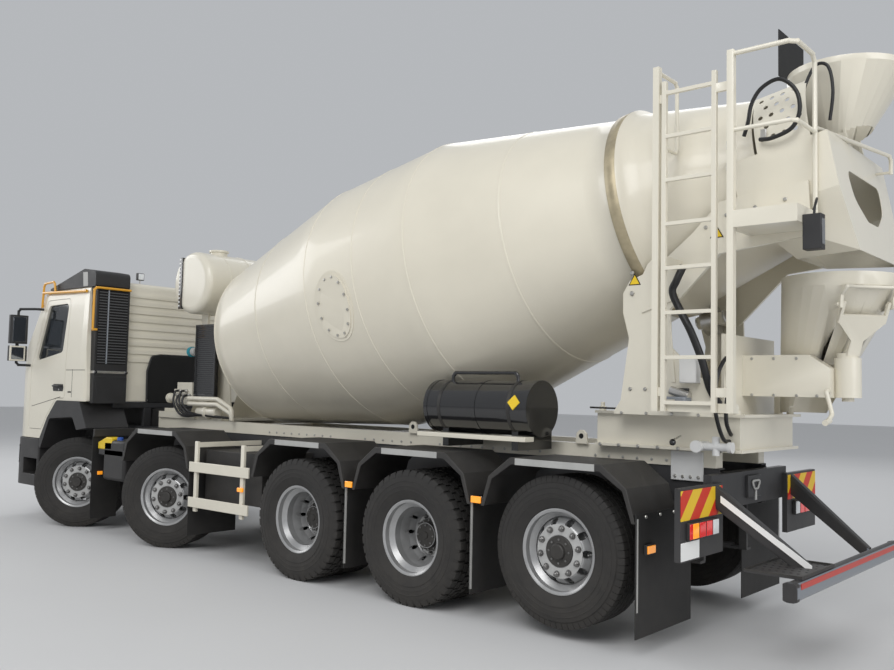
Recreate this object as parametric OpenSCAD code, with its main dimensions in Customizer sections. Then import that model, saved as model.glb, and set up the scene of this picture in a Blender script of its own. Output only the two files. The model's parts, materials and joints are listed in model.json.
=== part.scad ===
// Concrete mixer truck on five axles: twin-steer front, two driven twin-wheel axles and a lifted,
// steered tag axle. Millimetres, +X to the front, +Y to the left, +Z up, origin on the ground
// below the middle of the whole truck.

/* [Overall] */
// Length from the bumper to the rear of the charging hopper
total_length = 10435; // [9800:5:11200]
// Bumper face ahead of the first axle
front_overhang = 1385; // [1250:5:1500]
// Width over the rear fenders
body_width = 2500; // [2460:5:2550]

/* [Axles and wheels] */
// Second axle behind the first
axle2_back = 1995; // [1900:5:2100]
// Third axle behind the first
axle3_back = 4300; // [4200:5:4400]
// Fourth axle behind the first
axle4_back = 5670; // [5600:5:5760]
// Fifth axle behind the first
axle5_back = 7050; // [6980:5:7140]
// Radius of the wide single tyres
single_r = 532; // [520:1:540]
// Width of the wide single tyres
single_w = 380; // [360:1:390]
// Radius of the twin tyres
twin_r = 537; // [525:1:545]
// Width of one twin tyre
twin_w = 312; // [295:1:320]
// Distance between the middles of twin tyres
twin_pitch = 350; // [340:1:360]
// Middle of a single tyre from the centreline
single_y = 1020; // [1000:1:1030]
// Middle of the outer twin tyre from the centreline
twin_y = 1085; // [1070:1:1090]
// Radius of the bead seat of every rim
bead_r = 285; // [280:1:288]
// Kingpins from the centreline
kingpin_y = 935; // [925:1:940]
// Radius of a kingpin
kingpin_r = 25; // [20:1:30]
// Radius of the wheel spindles
spindle_r = 45; // [38:1:52]
// Height of the lifted tag axle above its driving place
tag_lift = 70; // [40:1:120]
// Left first wheel turned to the left
steer1_left = 37.6; // [30:0.1:40]
// Right first wheel turned to the left
steer1_right = 31.4; // [26:0.1:34]
// Left second wheel turned to the left
steer2_left = 27; // [20:0.1:29]
// Right second wheel turned to the left
steer2_right = 20.5; // [16:0.1:23]

/* [Chassis] */
// Outer faces of the frame rails from the centreline
rail_y = 430; // [415:1:440]
// Height of the frame rails
rail_h = 300; // [260:5:320]
// Top of the frame rails above the ground
rail_top = 1200; // [1180:5:1240]
// Flange width of the frame rails
rail_flange = 90; // [70:1:100]
// Plate thickness of the frame rails
rail_t = 10; // [8:1:14]
// Height of the mixer's subframe on the rails
sub_h = 120; // [100:5:140]
// Top of the fenders above the ground
fender_top = 1235; // [1225:1:1260]
// Half the length of a fender
fender_half = 640; // [630:1:650]
// Thickness of the plastic fenders
fender_t = 12; // [8:1:16]

/* [Cab] */
// Half the width of the grille
grille_y = 810; // [780:5:820]
// Lower edge of the grille above the ground
grille_low = 1110; // [1090:5:1130]
// Upper edge of the grille above the ground
grille_top = 1730; // [1700:5:1750]
// Half the width of the cab
cab_y = 1230; // [1200:5:1250]
// Rear wall of the cab behind the first axle
cab_back = 430; // [410:5:440]
// Top of the roof above the ground
cab_top = 2975; // [2900:5:3050]
// Floor of the cab above the ground
cab_floor = 1500; // [1480:5:1520]
// Thickness of the cab's walls and doors
wall_t = 60; // [40:1:70]
// Gap round the doors
door_gap = 6; // [5:0.5:8]
// Clearance round glass and other seated pieces
seat_gap = 0.3; // [0.2:0.05:0.5]
// Radial clearance of pins in their bores
pin_gap = 0.05; // [0.02:0.01:0.1]

/* [Drum] */
// Lean of the drum's axis
drum_tilt = 11.2; // [10:0.1:12]
// Front end of the drum behind the first axle
drum_back = 2080; // [2050:5:2110]
// Height of the drum's axis at its front end
drum_z = 2130; // [2100:5:2160]
// Radius of the drum's front end
drum_front_r = 450; // [430:1:470]
// Largest radius of the drum
drum_r = 1232; // [1200:1:1240]
// Length from the front end to the track ring
ring_s = 5281; // [5260:1:5300]
// Outer radius of the track ring
ring_r = 847; // [835:1:855]
// Width of the track ring
ring_w = 90; // [70:1:110]
// Length from the front end to the mouth
mouth_s = 6250; // [6200:5:6280]
// Radius of the mouth
mouth_r = 565; // [550:1:580]
// Plate thickness of the drum
drum_t = 6; // [5:0.5:10]
// Radius of a drum roller
roller_r = 125; // [110:1:135]
// Width of a drum roller
roller_w = 100; // [80:1:120]
// Angle of the drum rollers from the bottom of the ring
roller_angle = 31; // [29:0.5:32]

/* [Tanks] */
// Radius of the water tank
water_r = 360; // [340:1:370]
// Length of the water tank across the truck
water_l = 1250; // [1100:5:1400]
// Radius of the additive tank
additive_r = 215; // [190:1:230]
// Length of the additive tank
additive_l = 1040; // [1000:5:1200]

/* [Rear end] */
// Swivel pin of the chute behind the first axle
swivel_back = 8640; // [8600:5:8680]
// Radius of the chute's swivel pin
swivel_r = 40; // [30:1:50]
// Radius of the chute's head
chute_head_r = 390; // [370:1:400]
// Plate thickness of chute, hood and hopper
sheet_t = 5; // [4:0.5:8]
// Radius of the chute's foot
chute_foot_r = 165; // [150:1:175]
// Turn of the parked chute from straight ahead, negative to the right
chute_dir = -42; // [-46:0.5:-40]
// Half the width of the hood
hood_y = 625; // [620:1:640]
// Length from the drum's front end to the hood's rear plate
hood_end = 6757; // [6740:1:6780]
// Top of the chute's head above the ground
chute_top = 2560; // [2550:1:2570]
// Lower edge of the hood's outlet above the ground
outlet_z = 2665; // [2655:1:2680]
// Height of the hopper's rim
hopper_top = 4000; // [3980:5:4040]
// Radius of the hopper's rim
hopper_r = 400; // [380:5:410]
// Top of the platform
platform_z = 2900; // [2880:1:2920]
// Ladder's plane from the centreline
ladder_y = 1000; // [980:1:1040]
// Distance between the ladder's rungs
rung_pitch = 301; // [280:1:305]
// Width of the ladder's square posts
post_w = 45; // [40:1:50]
// Top of the underrun bar above the ground
underrun_z = 620; // [580:5:640]

/* [Hidden] */
$fn = 48;
LEFT = 1;
RIGHT = -1;
// overlap of pieces that are joined into one
eps = 0.5;

x1 = total_length / 2 - front_overhang;
x2 = x1 - axle2_back;
x3 = x1 - axle3_back;
x4 = x1 - axle4_back;
x5 = x1 - axle5_back;
axle_x = [x1, x2, x3, x4, x5];
axle_z = [single_r, single_r, twin_r, twin_r, single_r + tag_lift];
steer_left = [steer1_left, steer2_left, 0, 0, 0];
steer_right = [steer1_right, steer2_right, 0, 0, 0];
front_x = total_length / 2;
frame_front = x1 + 1150;
frame_rear = x1 - 7900;
rail_low = rail_top - rail_h;
sub_top = rail_top + sub_h;
fender_y = body_width / 2;
fender_in = 640;
gearbox_rear = x1 - 1500;

white = [0.90, 0.88, 0.82];
charcoal = [0.13, 0.13, 0.14];
chassis_grey = [0.17, 0.18, 0.20];
silver = [0.62, 0.63, 0.65];
black = [0.05, 0.05, 0.055];
orange = [0.95, 0.60, 0.08];

// unit vector, and the corner points of an outline given as [x, y, corner radius]
function unit(v) = v / norm(v);
function corner(p, i, n) =
    let (m = len(p), a = [p[(i + m - 1) % m].x, p[(i + m - 1) % m].y], b = [p[i].x, p[i].y],
         c = [p[(i + 1) % m].x, p[(i + 1) % m].y], r = p[i].z, u = unit(a - b), v = unit(c - b),
         half = acos(max(-1, min(1, u * v))) / 2)
    r < 1 ? [b] :
    let (mid = b + unit(u + v) * (r / sin(half)), s = b + u * (r / tan(half)) - mid,
         e = b + v * (r / tan(half)) - mid, a0 = atan2(s.y, s.x), d = atan2(e.y, e.x) - a0,
         sweep = d > 180 ? d - 360 : d < -180 ? d + 360 : d)
    [for (k = [0:n]) mid + r * [cos(a0 + sweep * k / n), sin(a0 + sweep * k / n)]];
function rounded(p, n = 5) = [for (i = [0:len(p) - 1]) each corner(p, i, n)];
// the same outline with every side moved inwards by t; corners run counter-clockwise
function inset(p, t) = [for (i = [0:len(p) - 1])
    let (m = len(p), a = [p[(i + m - 1) % m].x, p[(i + m - 1) % m].y], b = [p[i].x, p[i].y],
         c = [p[(i + 1) % m].x, p[(i + 1) % m].y], d1 = unit(b - a), d2 = unit(c - b),
         n1 = [-d1.y, d1.x], n2 = [-d2.y, d2.x], k = 1 + n1 * n2)
    [b.x + (n1.x + n2.x) * t / k, b.y + (n1.y + n2.y) * t / k, p[i].z > t ? p[i].z - t : 0]];

// a box by its lowest and highest corners
module span_box(low, high) { translate(low) cube(high - low); }
// an outline in X and Z, pulled along Y between two places
module pull_y(points, y0, y1) {
    translate([0, y1, 0]) rotate([90, 0, 0]) linear_extrude(y1 - y0) polygon(points);
}
// an outline in Y and Z, pulled along X between two places
module pull_x(points, xa, xb) {
    translate([xa, 0, 0]) rotate([90, 0, 90]) linear_extrude(xb - xa) polygon(points);
}
// an outline in X and Y, pulled along Z between two places
module pull_z(points, z0, z1) { translate([0, 0, z0]) linear_extrude(z1 - z0) polygon(points); }
module both_sides() { children(); mirror([0, 1, 0]) children(); }
// a round bar between two points
module bar(a, b, r) {
    d = b - a;
    translate(a) rotate([0, acos(d.z / norm(d)), atan2(d.y, d.x)]) cylinder(r = r, h = norm(d));
}
// bent tube: bars along a list of points, with a shorter, slightly thinner bar across each corner
module tube_run(points, r, bend = 30) {
    m = len(points);
    path = [points[0], for (i = [1:1:m - 2]) each
                [points[i] + bend * unit(points[i - 1] - points[i]),
                 points[i] + bend * unit(points[i + 1] - points[i])],
            points[m - 1]];
    last = len(path) - 2;
    for (i = [0:last]) {
        u = unit(path[i + 1] - path[i]);
        thin = i % 2;
        bar(path[i] - u * (thin || i == 0 ? 0 : 0.75 * r),
            path[i + 1] + u * (thin || i == last ? 0 : 0.75 * r), r - thin * eps);
    }
}
// a cylinder along Y between two places
module rod_y(r, y0, y1) { translate([0, y1, 0]) rotate([90, 0, 0]) cylinder(r = r, h = y1 - y0); }
module rod_x(r, xa, xb) { translate([xa, 0, 0]) rotate([0, 90, 0]) cylinder(r = r, h = xb - xa); }
// a revolved outline [radius, y] about the Y axis
module spin_y(points, steps = 64) {
    rotate([-90, 0, 0]) rotate_extrude($fn = steps) polygon(points);
}

// Wheels. Each is drawn round the Y axis at its own middle with the outer side towards +Y.
single_hw = single_w / 2 - 41;
twin_hw = twin_w / 2 - 42;
flange_h = 14;
flange_w = 12;
well_r = bead_r - 38;
rim_t = 9;
hub_r = 140;
disc_r = 215;
hub_out = 20;
single_hub_r = 105;
brake_w = 45;

module tyre_ring(r, w, hw, grooves) {
    tread = w * 0.41;
    wall = 22;
    side_r = (bead_r + r) / 2 + 6;
    groove_w = 13;
    spin_y([
        [bead_r + seat_gap, -hw + 40], [bead_r + seat_gap, -hw + seat_gap],
        [bead_r + flange_h + seat_gap, -hw - 4 + seat_gap],
        [bead_r + flange_h + 4, -hw - flange_w - 2], [side_r - 40, -w / 2 + 3], [side_r, -w / 2],
        [side_r + 45, -w / 2 + 5], [r - 22, -tread - 12], [r - 3, -tread],
        for (g = grooves) each [[r, g - groove_w / 2], [r - 12, g - groove_w / 2 + 3],
                                [r - 12, g + groove_w / 2 - 3], [r, g + groove_w / 2]],
        [r - 3, tread], [r - 22, tread + 12], [side_r + 45, w / 2 - 5], [side_r, w / 2],
        [side_r - 40, w / 2 - 3], [bead_r + flange_h + 4, hw + flange_w + 2],
        [bead_r + flange_h + seat_gap, hw + 4 - seat_gap],
        [bead_r + seat_gap, hw - seat_gap], [bead_r + seat_gap, hw - 40],
        [side_r, w / 2 - wall], [r - 45, tread - 14], [r - 45, -tread + 14], [side_r, -w / 2 + wall]
    ]);
}
module rim_ring(hw) {
    flange_r = bead_r + flange_h;
    spin_y([
        [bead_r, -hw], [bead_r, -hw + 45], [well_r, -hw + 75], [well_r, hw - 75], [bead_r, hw - 45],
        [bead_r, hw], [flange_r, hw + 4], [flange_r, hw + flange_w], [flange_r - 7, hw + flange_w],
        [bead_r - rim_t, hw + 4], [bead_r - rim_t, hw - 40], [well_r - rim_t, hw - 70],
        [well_r - rim_t, -hw + 70], [bead_r - rim_t, -hw + 40], [bead_r - rim_t, -hw - 4],
        [flange_r - 7, -hw - flange_w], [flange_r, -hw - flange_w], [flange_r, -hw - 4]
    ]);
}
hand_hole_r = 28;
hand_hole_at = 205;
twin_hole_r = 17;
twin_hole_at = 210;
hand_holes = 10;
module hand_hole_cut(r, at, y0, y1) {
    for (i = [0:hand_holes - 1]) rotate([0, i * 360 / hand_holes, 0])
        translate([at, 0, 0]) rod_y(r, y0, y1);
}
// single wheel: the disc bulges to the outer flange; hub and brake disc behind it
module single_rim() {
    disc_y = single_hw - 28;
    difference() {
        union() {
            rim_ring(single_hw);
            spin_y([[single_hub_r - 5, disc_y], [single_hub_r - 5, disc_y + 12], [182, disc_y + 12],
                    [196, disc_y + 4], [222, disc_y - 32], [well_r - rim_t + 1, disc_y - 60],
                    [well_r - rim_t + 1, disc_y - 75], [212, disc_y - 45], [184, disc_y - 8],
                    [165, disc_y]]);
            rod_y(single_hub_r, 0, disc_y + hub_out);
            rod_y(disc_r, 0, brake_w);
        }
        hand_hole_cut(hand_hole_r, hand_hole_at, disc_y - 90, disc_y + 30);
        rod_y(spindle_r + pin_gap, -1, disc_y + 10);
    }
}
// twin wheels: both discs meet at the middle, so the outer one is a deep dish
module twin_rims() {
    half = twin_pitch / 2;
    difference() {
        union() {
            for (side = [-1, 1]) translate([0, side * half, 0]) rim_ring(twin_hw);
            for (side = [0, 1]) mirror([0, side, 0])
                spin_y([[hub_r - 20, -1], [hub_r - 20, 12], [178, 12], [190, 24], [216, 75],
                        [well_r - rim_t + 1, half - 14], [well_r - rim_t + 1, half - 30], [228, 70],
                        [202, 20], [190, -1]]);
            rod_y(hub_r - 10, -half, 70);
            rod_y(hub_r - 40, 60, 110);
            rod_y(disc_r - 20, -half, -half + brake_w);
        }
        for (side = [0, 1]) mirror([0, side, 0]) hand_hole_cut(twin_hole_r, twin_hole_at, 21, 120);
        rod_y(spindle_r + pin_gap, -half - 1, 60);
    }
}
function is_twin(n) = n == 2 || n == 3;
function wheel_y(n) = is_twin(n) ? twin_y - twin_pitch / 2 : single_y;
// puts a wheel's drawing at axle n (counted from 0), turned with its steering about the kingpin
module at_wheel(n, side) {
    angle = side > 0 ? steer_left[n] : steer_right[n];
    translate([axle_x[n], 0, axle_z[n]]) translate([0, side * kingpin_y, 0]) rotate([0, 0, angle])
        translate([0, side * (wheel_y(n) - kingpin_y), 0])
        mirror([0, side > 0 ? 0 : 1, 0]) children();
}
module tyre(n, side) {
    color(black) at_wheel(n, side)
        if (is_twin(n)) {
            for (end = [-1, 1]) translate([0, end * twin_pitch / 2, 0])
                tyre_ring(twin_r, twin_w, twin_hw, [-62, 0, 62]);
        } else tyre_ring(single_r, single_w, single_hw, [-96, -32, 32, 96]);
}
module rim(n, side) {
    color(silver) at_wheel(n, side) if (is_twin(n)) twin_rims(); else single_rim();
}

// Steered knuckle: fork and kingpin round the beam's eye, spindle into the hub
eye_r = 52;
eye_h = 150;
ear_h = 34;
module knuckle(n, side) {
    gap = 2;
    color(chassis_grey) translate([axle_x[n], side * kingpin_y, axle_z[n]])
        rotate([0, 0, side > 0 ? steer_left[n] : steer_right[n]]) mirror([0, side > 0 ? 0 : 1, 0]) {
            for (end = [-1, 1]) {
                z = end > 0 ? eye_h / 2 + gap : -eye_h / 2 - gap - ear_h;
                translate([0, 0, z]) cylinder(r = eye_r, h = ear_h);
                span_box([-38, 0, z], [38, single_y - kingpin_y - 12, z + ear_h]);
            }
            span_box([-38, eye_r + 6, -eye_h / 2 - gap - 1],
                     [38, single_y - kingpin_y - 12, eye_h / 2 + gap + 1]);
            translate([0, 0, -eye_h / 2 - gap - 1]) cylinder(r = kingpin_r, h = eye_h + 2 * gap + 2);
            rod_y(spindle_r, single_y - kingpin_y - 20, single_y - kingpin_y + single_hw - 25);
            span_box([-170, 20, -eye_h / 2 - gap - ear_h], [-30, 60, -eye_h / 2 - gap - ear_h + 24]);
        }
}
beam_drop = 130;
module steer_beam(n) {
    pad = rail_y - 20;
    low = -beam_drop;
    translate([axle_x[n], 0, axle_z[n]]) {
        both_sides() {
            difference() {
                union() {
                    translate([0, kingpin_y, -eye_h / 2]) cylinder(r = eye_r, h = eye_h);
                    pull_x([[kingpin_y - 20, 45], [kingpin_y - 20, -45], [600, -60], [pad + 60, low - 50],
                            [0, low - 50], [0, low + 50], [pad + 60, low + 50], [640, 45]], -38, 38);
                }
                translate([0, kingpin_y, -eye_h]) cylinder(r = kingpin_r + pin_gap, h = 2 * eye_h);
            }
            // leaf spring pack, its seat and shackles up to the rail
            for (leaf = [0:3]) span_box([-720 + leaf * 130, pad - 40, low + 50 + leaf * 18],
                                        [720 - leaf * 130, pad + 40, low + 50 + leaf * 18 + 18 + eps]);
            for (end = [-1, 1]) span_box([end * 690 - 30, pad - 45, low + 60],
                                         [end * 690 + 30, pad - 15, rail_low - axle_z[n] - seat_gap]);
        }
    }
}
module steer_axle_beams() { color(chassis_grey) for (n = [0, 1, 4]) steer_beam(n); }
module drive_axles() {
    color(chassis_grey) {
        for (n = [2, 3]) translate([axle_x[n], 0, axle_z[n]]) {
            tube_end = wheel_y(n) - twin_pitch / 2 - 12;
            rod_x(205, -150, 190);
            rod_y(85, -tube_end, tube_end);
            rod_y(spindle_r, -wheel_y(n) - 40, wheel_y(n) + 40);
            both_sides() span_box([-60, rail_y - 75, 60], [60, rail_y + 25, 190]);
        }
        both_sides() for (leaf = [0:4])
            span_box([x4 - 80 + leaf * 130, rail_y - 65, axle_z[2] + 185 + leaf * 20],
                     [x3 + 80 - leaf * 130, rail_y + 15, axle_z[2] + 185 + leaf * 20 + 20 + eps]);
        both_sides() span_box([(x3 + x4) / 2 - 110, rail_y - 75, axle_z[2] + 200],
                              [(x3 + x4) / 2 + 110, rail_y + 25, rail_low - seat_gap]);
        // propeller shafts along the centreline
        bar([x3 + 100, 0, axle_z[2] + 30], [gearbox_rear - 12, 0, 860], 50);
        translate([0, 0, axle_z[2] + 20]) rod_x(50, x4, x3);
    }
}

// Frame
module frame_rails() {
    channel = [[rail_y, rail_low], [rail_y, rail_top], [rail_y - rail_flange, rail_top],
               [rail_y - rail_flange, rail_top - rail_t], [rail_y - rail_t, rail_top - rail_t],
               [rail_y - rail_t, rail_low + rail_t], [rail_y - rail_flange, rail_low + rail_t],
               [rail_y - rail_flange, rail_low]];
    cross_x = [frame_front - 90, gearbox_rear - 100, x2 - 700, (x3 + x4) / 2, x4 - 690, frame_rear + 80];
    color(chassis_grey) {
        both_sides() pull_x(channel, frame_rear, frame_front);
        for (x = cross_x) span_box([x - 60, -rail_y + rail_t, rail_low + 40],
                                   [x + 60, rail_y - rail_t, rail_top - 50]);
        span_box([frame_rear - 60, -690, rail_low + 30], [frame_rear, 690, rail_top - 30]);
    }
}
module engine_block() {
    color(chassis_grey) {
        span_box([x1 - 700, -300, 760], [x1 + 650, 300, 1420]);
        span_box([gearbox_rear, -200, 800], [x1 - 700, 200, 1180]);
    }
}
module subframe() {
    sub_front = x1 - 760;
    color(white) {
        both_sides() span_box([frame_rear + 20, rail_y - 100, rail_top], [sub_front, rail_y + 10, sub_top]);
        for (x = [sub_front - 100, x2 - 650, x3 - 200, x4 + 100, x5 + 300])
            span_box([x - 50, -rail_y + 99, rail_top + 10], [x + 50, rail_y - 99, sub_top - 10]);
    }
}
module side_boxes() {
    color(chassis_grey) {
        // left: battery and tank boxes between axles two and three; right: the same, mirrored
        both_sides() {
            span_box([x2 - 1620, rail_y + 20, 560], [x2 - 700, guard_y - 150, 1060]);
            span_box([x2 - 1400, rail_y, 950], [x2 - 1300, rail_y + 21, 1040]);
            span_box([x2 - 1000, rail_y, 950], [x2 - 900, rail_y + 21, 1040]);
        }
    }
}
guard_y = fender_y - 20;
module side_guards() {
    post_x = [x2 - 740, x2 - 1500];
    color(white) both_sides() {
        for (z = [945, 594]) span_box([x2 - 1625, guard_y, z - 100], [x2 - 655, guard_y + 20, z]);
        for (x = post_x) {
            span_box([x - 25, guard_y - 30, 450], [x + 25, guard_y, 1150]);
            span_box([x - 25, rail_y, 1090], [x + 25, guard_y, 1140]);
        }
    }
}

// Fenders over axles two to five, as an arch with a down-turned outer edge
module fender_arch() {
    low = fender_top - 370;
    outer = [[-fender_half, low], [-fender_half + 70, fender_top - 145], [-fender_half + 260, fender_top],
             [fender_half - 260, fender_top], [fender_half - 70, fender_top - 145], [fender_half, low]];
    inner = [[fender_half - fender_t, low], [fender_half - 70 - fender_t, fender_top - 150],
             [fender_half - 264, fender_top - fender_t], [-fender_half + 264, fender_top - fender_t],
             [-fender_half + 70 + fender_t, fender_top - 150], [-fender_half + fender_t, low]];
    lip = [[fender_half - 30, low], [fender_half - 100, fender_top - 165],
           [fender_half - 274, fender_top - 50], [-fender_half + 274, fender_top - 50],
           [-fender_half + 100, fender_top - 165], [-fender_half + 30, low]];
    pull_y(concat(outer, inner), fender_in, fender_y);
    pull_y(concat(outer, lip), fender_y - 10, fender_y);
    span_box([-30, rail_y, rail_top - 70], [30, fender_in + 40, rail_top - 10]);
    span_box([-30, fender_in, rail_top - 70], [30, fender_in + 40, fender_top - fender_t + 1]);
}
module fenders() {
    color(charcoal) both_sides() {
        for (n = [1:4]) translate([axle_x[n], 0, 0]) fender_arch();
        // carrier of the first axle's flap
        span_box([x1 - 700, rail_y, rail_top - 100], [x1 - 672 - seat_gap, cab_y, rail_top - 10]);
    }
}
flap_t = 8;
module rubber_flaps() {
    color(black) {
        both_sides() {
            span_box([x1 - 672, 900, 160], [x1 - 672 + flap_t, cab_y, rail_top - 70]);
            for (n = [1:3]) span_box([axle_x[n] - fender_half - seat_gap - flap_t, fender_in + 10, 200],
                                     [axle_x[n] - fender_half - seat_gap, fender_y - 10, 930]);
            span_box([x5 - fender_half - seat_gap - flap_t, 450, 130],
                     [x5 - fender_half - seat_gap, fender_y, 930]);
        }
        // splash flap on the hopper's front edge
        span_box([x1 - 8262, -250, hopper_top + seat_gap], [x1 - 8262 + flap_t, 250, hopper_top + 340]);
    }
}

// Cab: side, plan and front outlines cut the same block, so walls keep an even thickness
cab_rear_x = x1 - cab_back;
wall_lean = 60;
cab_side = [[cab_rear_x, cab_floor, 20], [x1 + 245, cab_floor, 60], [x1 + 462, 1292, 80],
            [x1 + 650, 1020, 40], [front_x - 45, 1020, 40], [front_x - 30, 1750, 300],
            [x1 + 700, cab_top - 120, 160], [x1 + 500, cab_top, 300],
            [cab_rear_x + wall_lean, cab_top, 60]];
cab_plan = [[cab_rear_x, -cab_y, 60], [front_x, -cab_y, 330], [front_x, cab_y, 330],
            [cab_rear_x, cab_y, 60]];
cab_front = [[-cab_y, 900, 0], [cab_y, 900, 0], [cab_y, 1900, 500], [cab_y - 45, cab_top, 190],
             [-cab_y + 45, cab_top, 190], [-cab_y, 1900, 500]];
module cab_block(t) {
    intersection() {
        pull_y(rounded(inset(cab_side, t)), -cab_y - 10, cab_y + 10);
        pull_z(rounded(inset(cab_plan, t)), 900, cab_top + 100);
        pull_x(rounded(inset(cab_front, t)), cab_rear_x - 10, front_x + 10);
    }
}
door_rear = x1 + 60;
door_front = x1 + 960;
door_outline = [[door_rear, cab_floor + 25, 40], [x1 + 262, cab_floor + 25, 60], [x1 + 500, 1297, 60],
                [x1 + 618, 1130, 50],
                [door_front, 1130, 40], [door_front, 1900, 60], [x1 + 650, 2750, 70], [door_rear, 2750, 60]];
door_window = [[x1 + 170, 2090, 50], [x1 + 850, 1985, 50], [x1 + 610, 2680, 60], [x1 + 100, 2690, 60]];
windscreen = [[-1050, 1960, 80], [1050, 1960, 80], [1010, 2740, 90], [-1010, 2740, 90]];
module windscreen_cut(t) {
    pull_x(rounded(inset(windscreen, t)), x1 + 560, front_x + 50);
}
// the door's place: through the whole side above the floor, the outer wall only below it
module door_cut(t) {
    back = t > 0 ? 0 : door_gap;
    difference() {
        pull_y(rounded(inset(door_outline, t)), 900, cab_y + 20);
        span_box([x1 - 100, 800, 900], [front_x, cab_y - wall_t - back, cab_floor + wall_t]);
    }
}
module cab_shell() {
    ribs = 9;
    rear_seam = cab_rear_x + 150;
    nose_seam = x1 + 550;
    color(white) {
        difference() {
            cab_block(0);
            difference() {
                cab_block(wall_t);
                span_box([cab_rear_x, -cab_y, 900], [front_x, cab_y, cab_floor + wall_t]);
            }
            pull_z(rounded(inset(cab_plan, wall_t + 45)), 900, cab_floor);
            both_sides() door_cut(0);
            windscreen_cut(0);
            span_box([front_x - 200, -grille_y, grille_low], [front_x + 10, grille_y, grille_top]);
            // seams that part the rear wall, the nose, the roof, the floor and the sides
            for (x = [rear_seam, nose_seam])
                span_box([x, -cab_y - 10, 900], [x + seat_gap, cab_y + 10, cab_top + 10]);
            for (z = [cab_floor + wall_t + 30, 2870])
                span_box([rear_seam, -cab_y - 10, z], [nose_seam, cab_y + 10, z + seat_gap]);
        }
        // raised ribs across the leaning rear wall
        for (i = [0:ribs - 1]) {
            z = 1990 + i * 100;
            x = cab_rear_x + wall_lean * (z - cab_floor) / (cab_top - cab_floor);
            span_box([x - 14, -690, z], [x + 20, 690, z + 50]);
        }
    }
}
module door_panel() {
    difference() {
        intersection() {
            difference() { cab_block(0); cab_block(wall_t); }
            door_cut(door_gap);
        }
        pull_y(rounded(door_window), 800, cab_y + 30);
    }
}
module door_glass() {
    intersection() {
        difference() { cab_block(24); cab_block(30); }
        pull_y(rounded(inset(door_window, seat_gap)), 800, cab_y + 30);
    }
}
module door_left() { color(white) door_panel(); }
module door_right() { color(white) mirror([0, 1, 0]) door_panel(); }
module glass_door_left() { color(black) door_glass(); }
module glass_door_right() { color(black) mirror([0, 1, 0]) door_glass(); }
module cab_glass() {
    color(black) intersection() {
        difference() { cab_block(20); cab_block(26); }
        windscreen_cut(seat_gap);
    }
}
module cab_interior() {
    floor_in = cab_floor + wall_t;
    color(charcoal) {
        for (y = [-560, 560]) {
            span_box([x1 - 250, y - 230, floor_in], [x1 + 230, y + 230, floor_in + 420]);
            span_box([x1 - 290, y - 220, floor_in + 419], [x1 - 150, y + 220, floor_in + 1000]);
        }
        span_box([x1 + 640, -1050, floor_in], [x1 + 1000, 1050, 1900]);
        translate([x1 + 560, 560, 1960]) rotate([0, -35, 0])
            rotate_extrude() translate([210, 0]) circle(r = 16, $fn = 16);
        bar([x1 + 560, 560, 1960], [x1 + 700, 560, 1800], 35);
        translate([x1 + 560, 560, 1960]) rotate([0, -35, 0]) span_box([-205, -20, -8], [205, 20, 8]);
    }
}
module front_bumper() {
    grille_x = front_x - 100;
    color(charcoal) {
        // bumper, with steps below both doors
        intersection() {
            pull_z(rounded([[x1 + 660, -cab_y, 20], [front_x, -cab_y, 260], [front_x, cab_y, 260],
                            [x1 + 660, cab_y, 20]]), 420, 1010);
            difference() {
                span_box([x1 + 660, -cab_y, 420], [front_x, cab_y, 1010]);
                span_box([x1 + 650, -900, 400], [front_x - 150, 900, 1100]);
                both_sides() span_box([x1 + 700, 1050, 560], [x1 + 1060, cab_y + 20, 760]);
            }
        }
        both_sides() span_box([frame_front - 100, rail_y, rail_low + 20],
                              [front_x - 149, rail_y + 20, 1000]);
        // grille slats between two uprights, seated in the cab's front
        for (i = [0:6]) span_box([grille_x, -grille_y + 40, grille_low + 20 + i * 88],
                                 [grille_x + 55, grille_y - 40, grille_low + 64 + i * 88]);
        both_sides() span_box([grille_x, grille_y - 50, grille_low + seat_gap],
                              [grille_x + 55, grille_y - seat_gap, grille_top - seat_gap]);
    }
}
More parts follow.
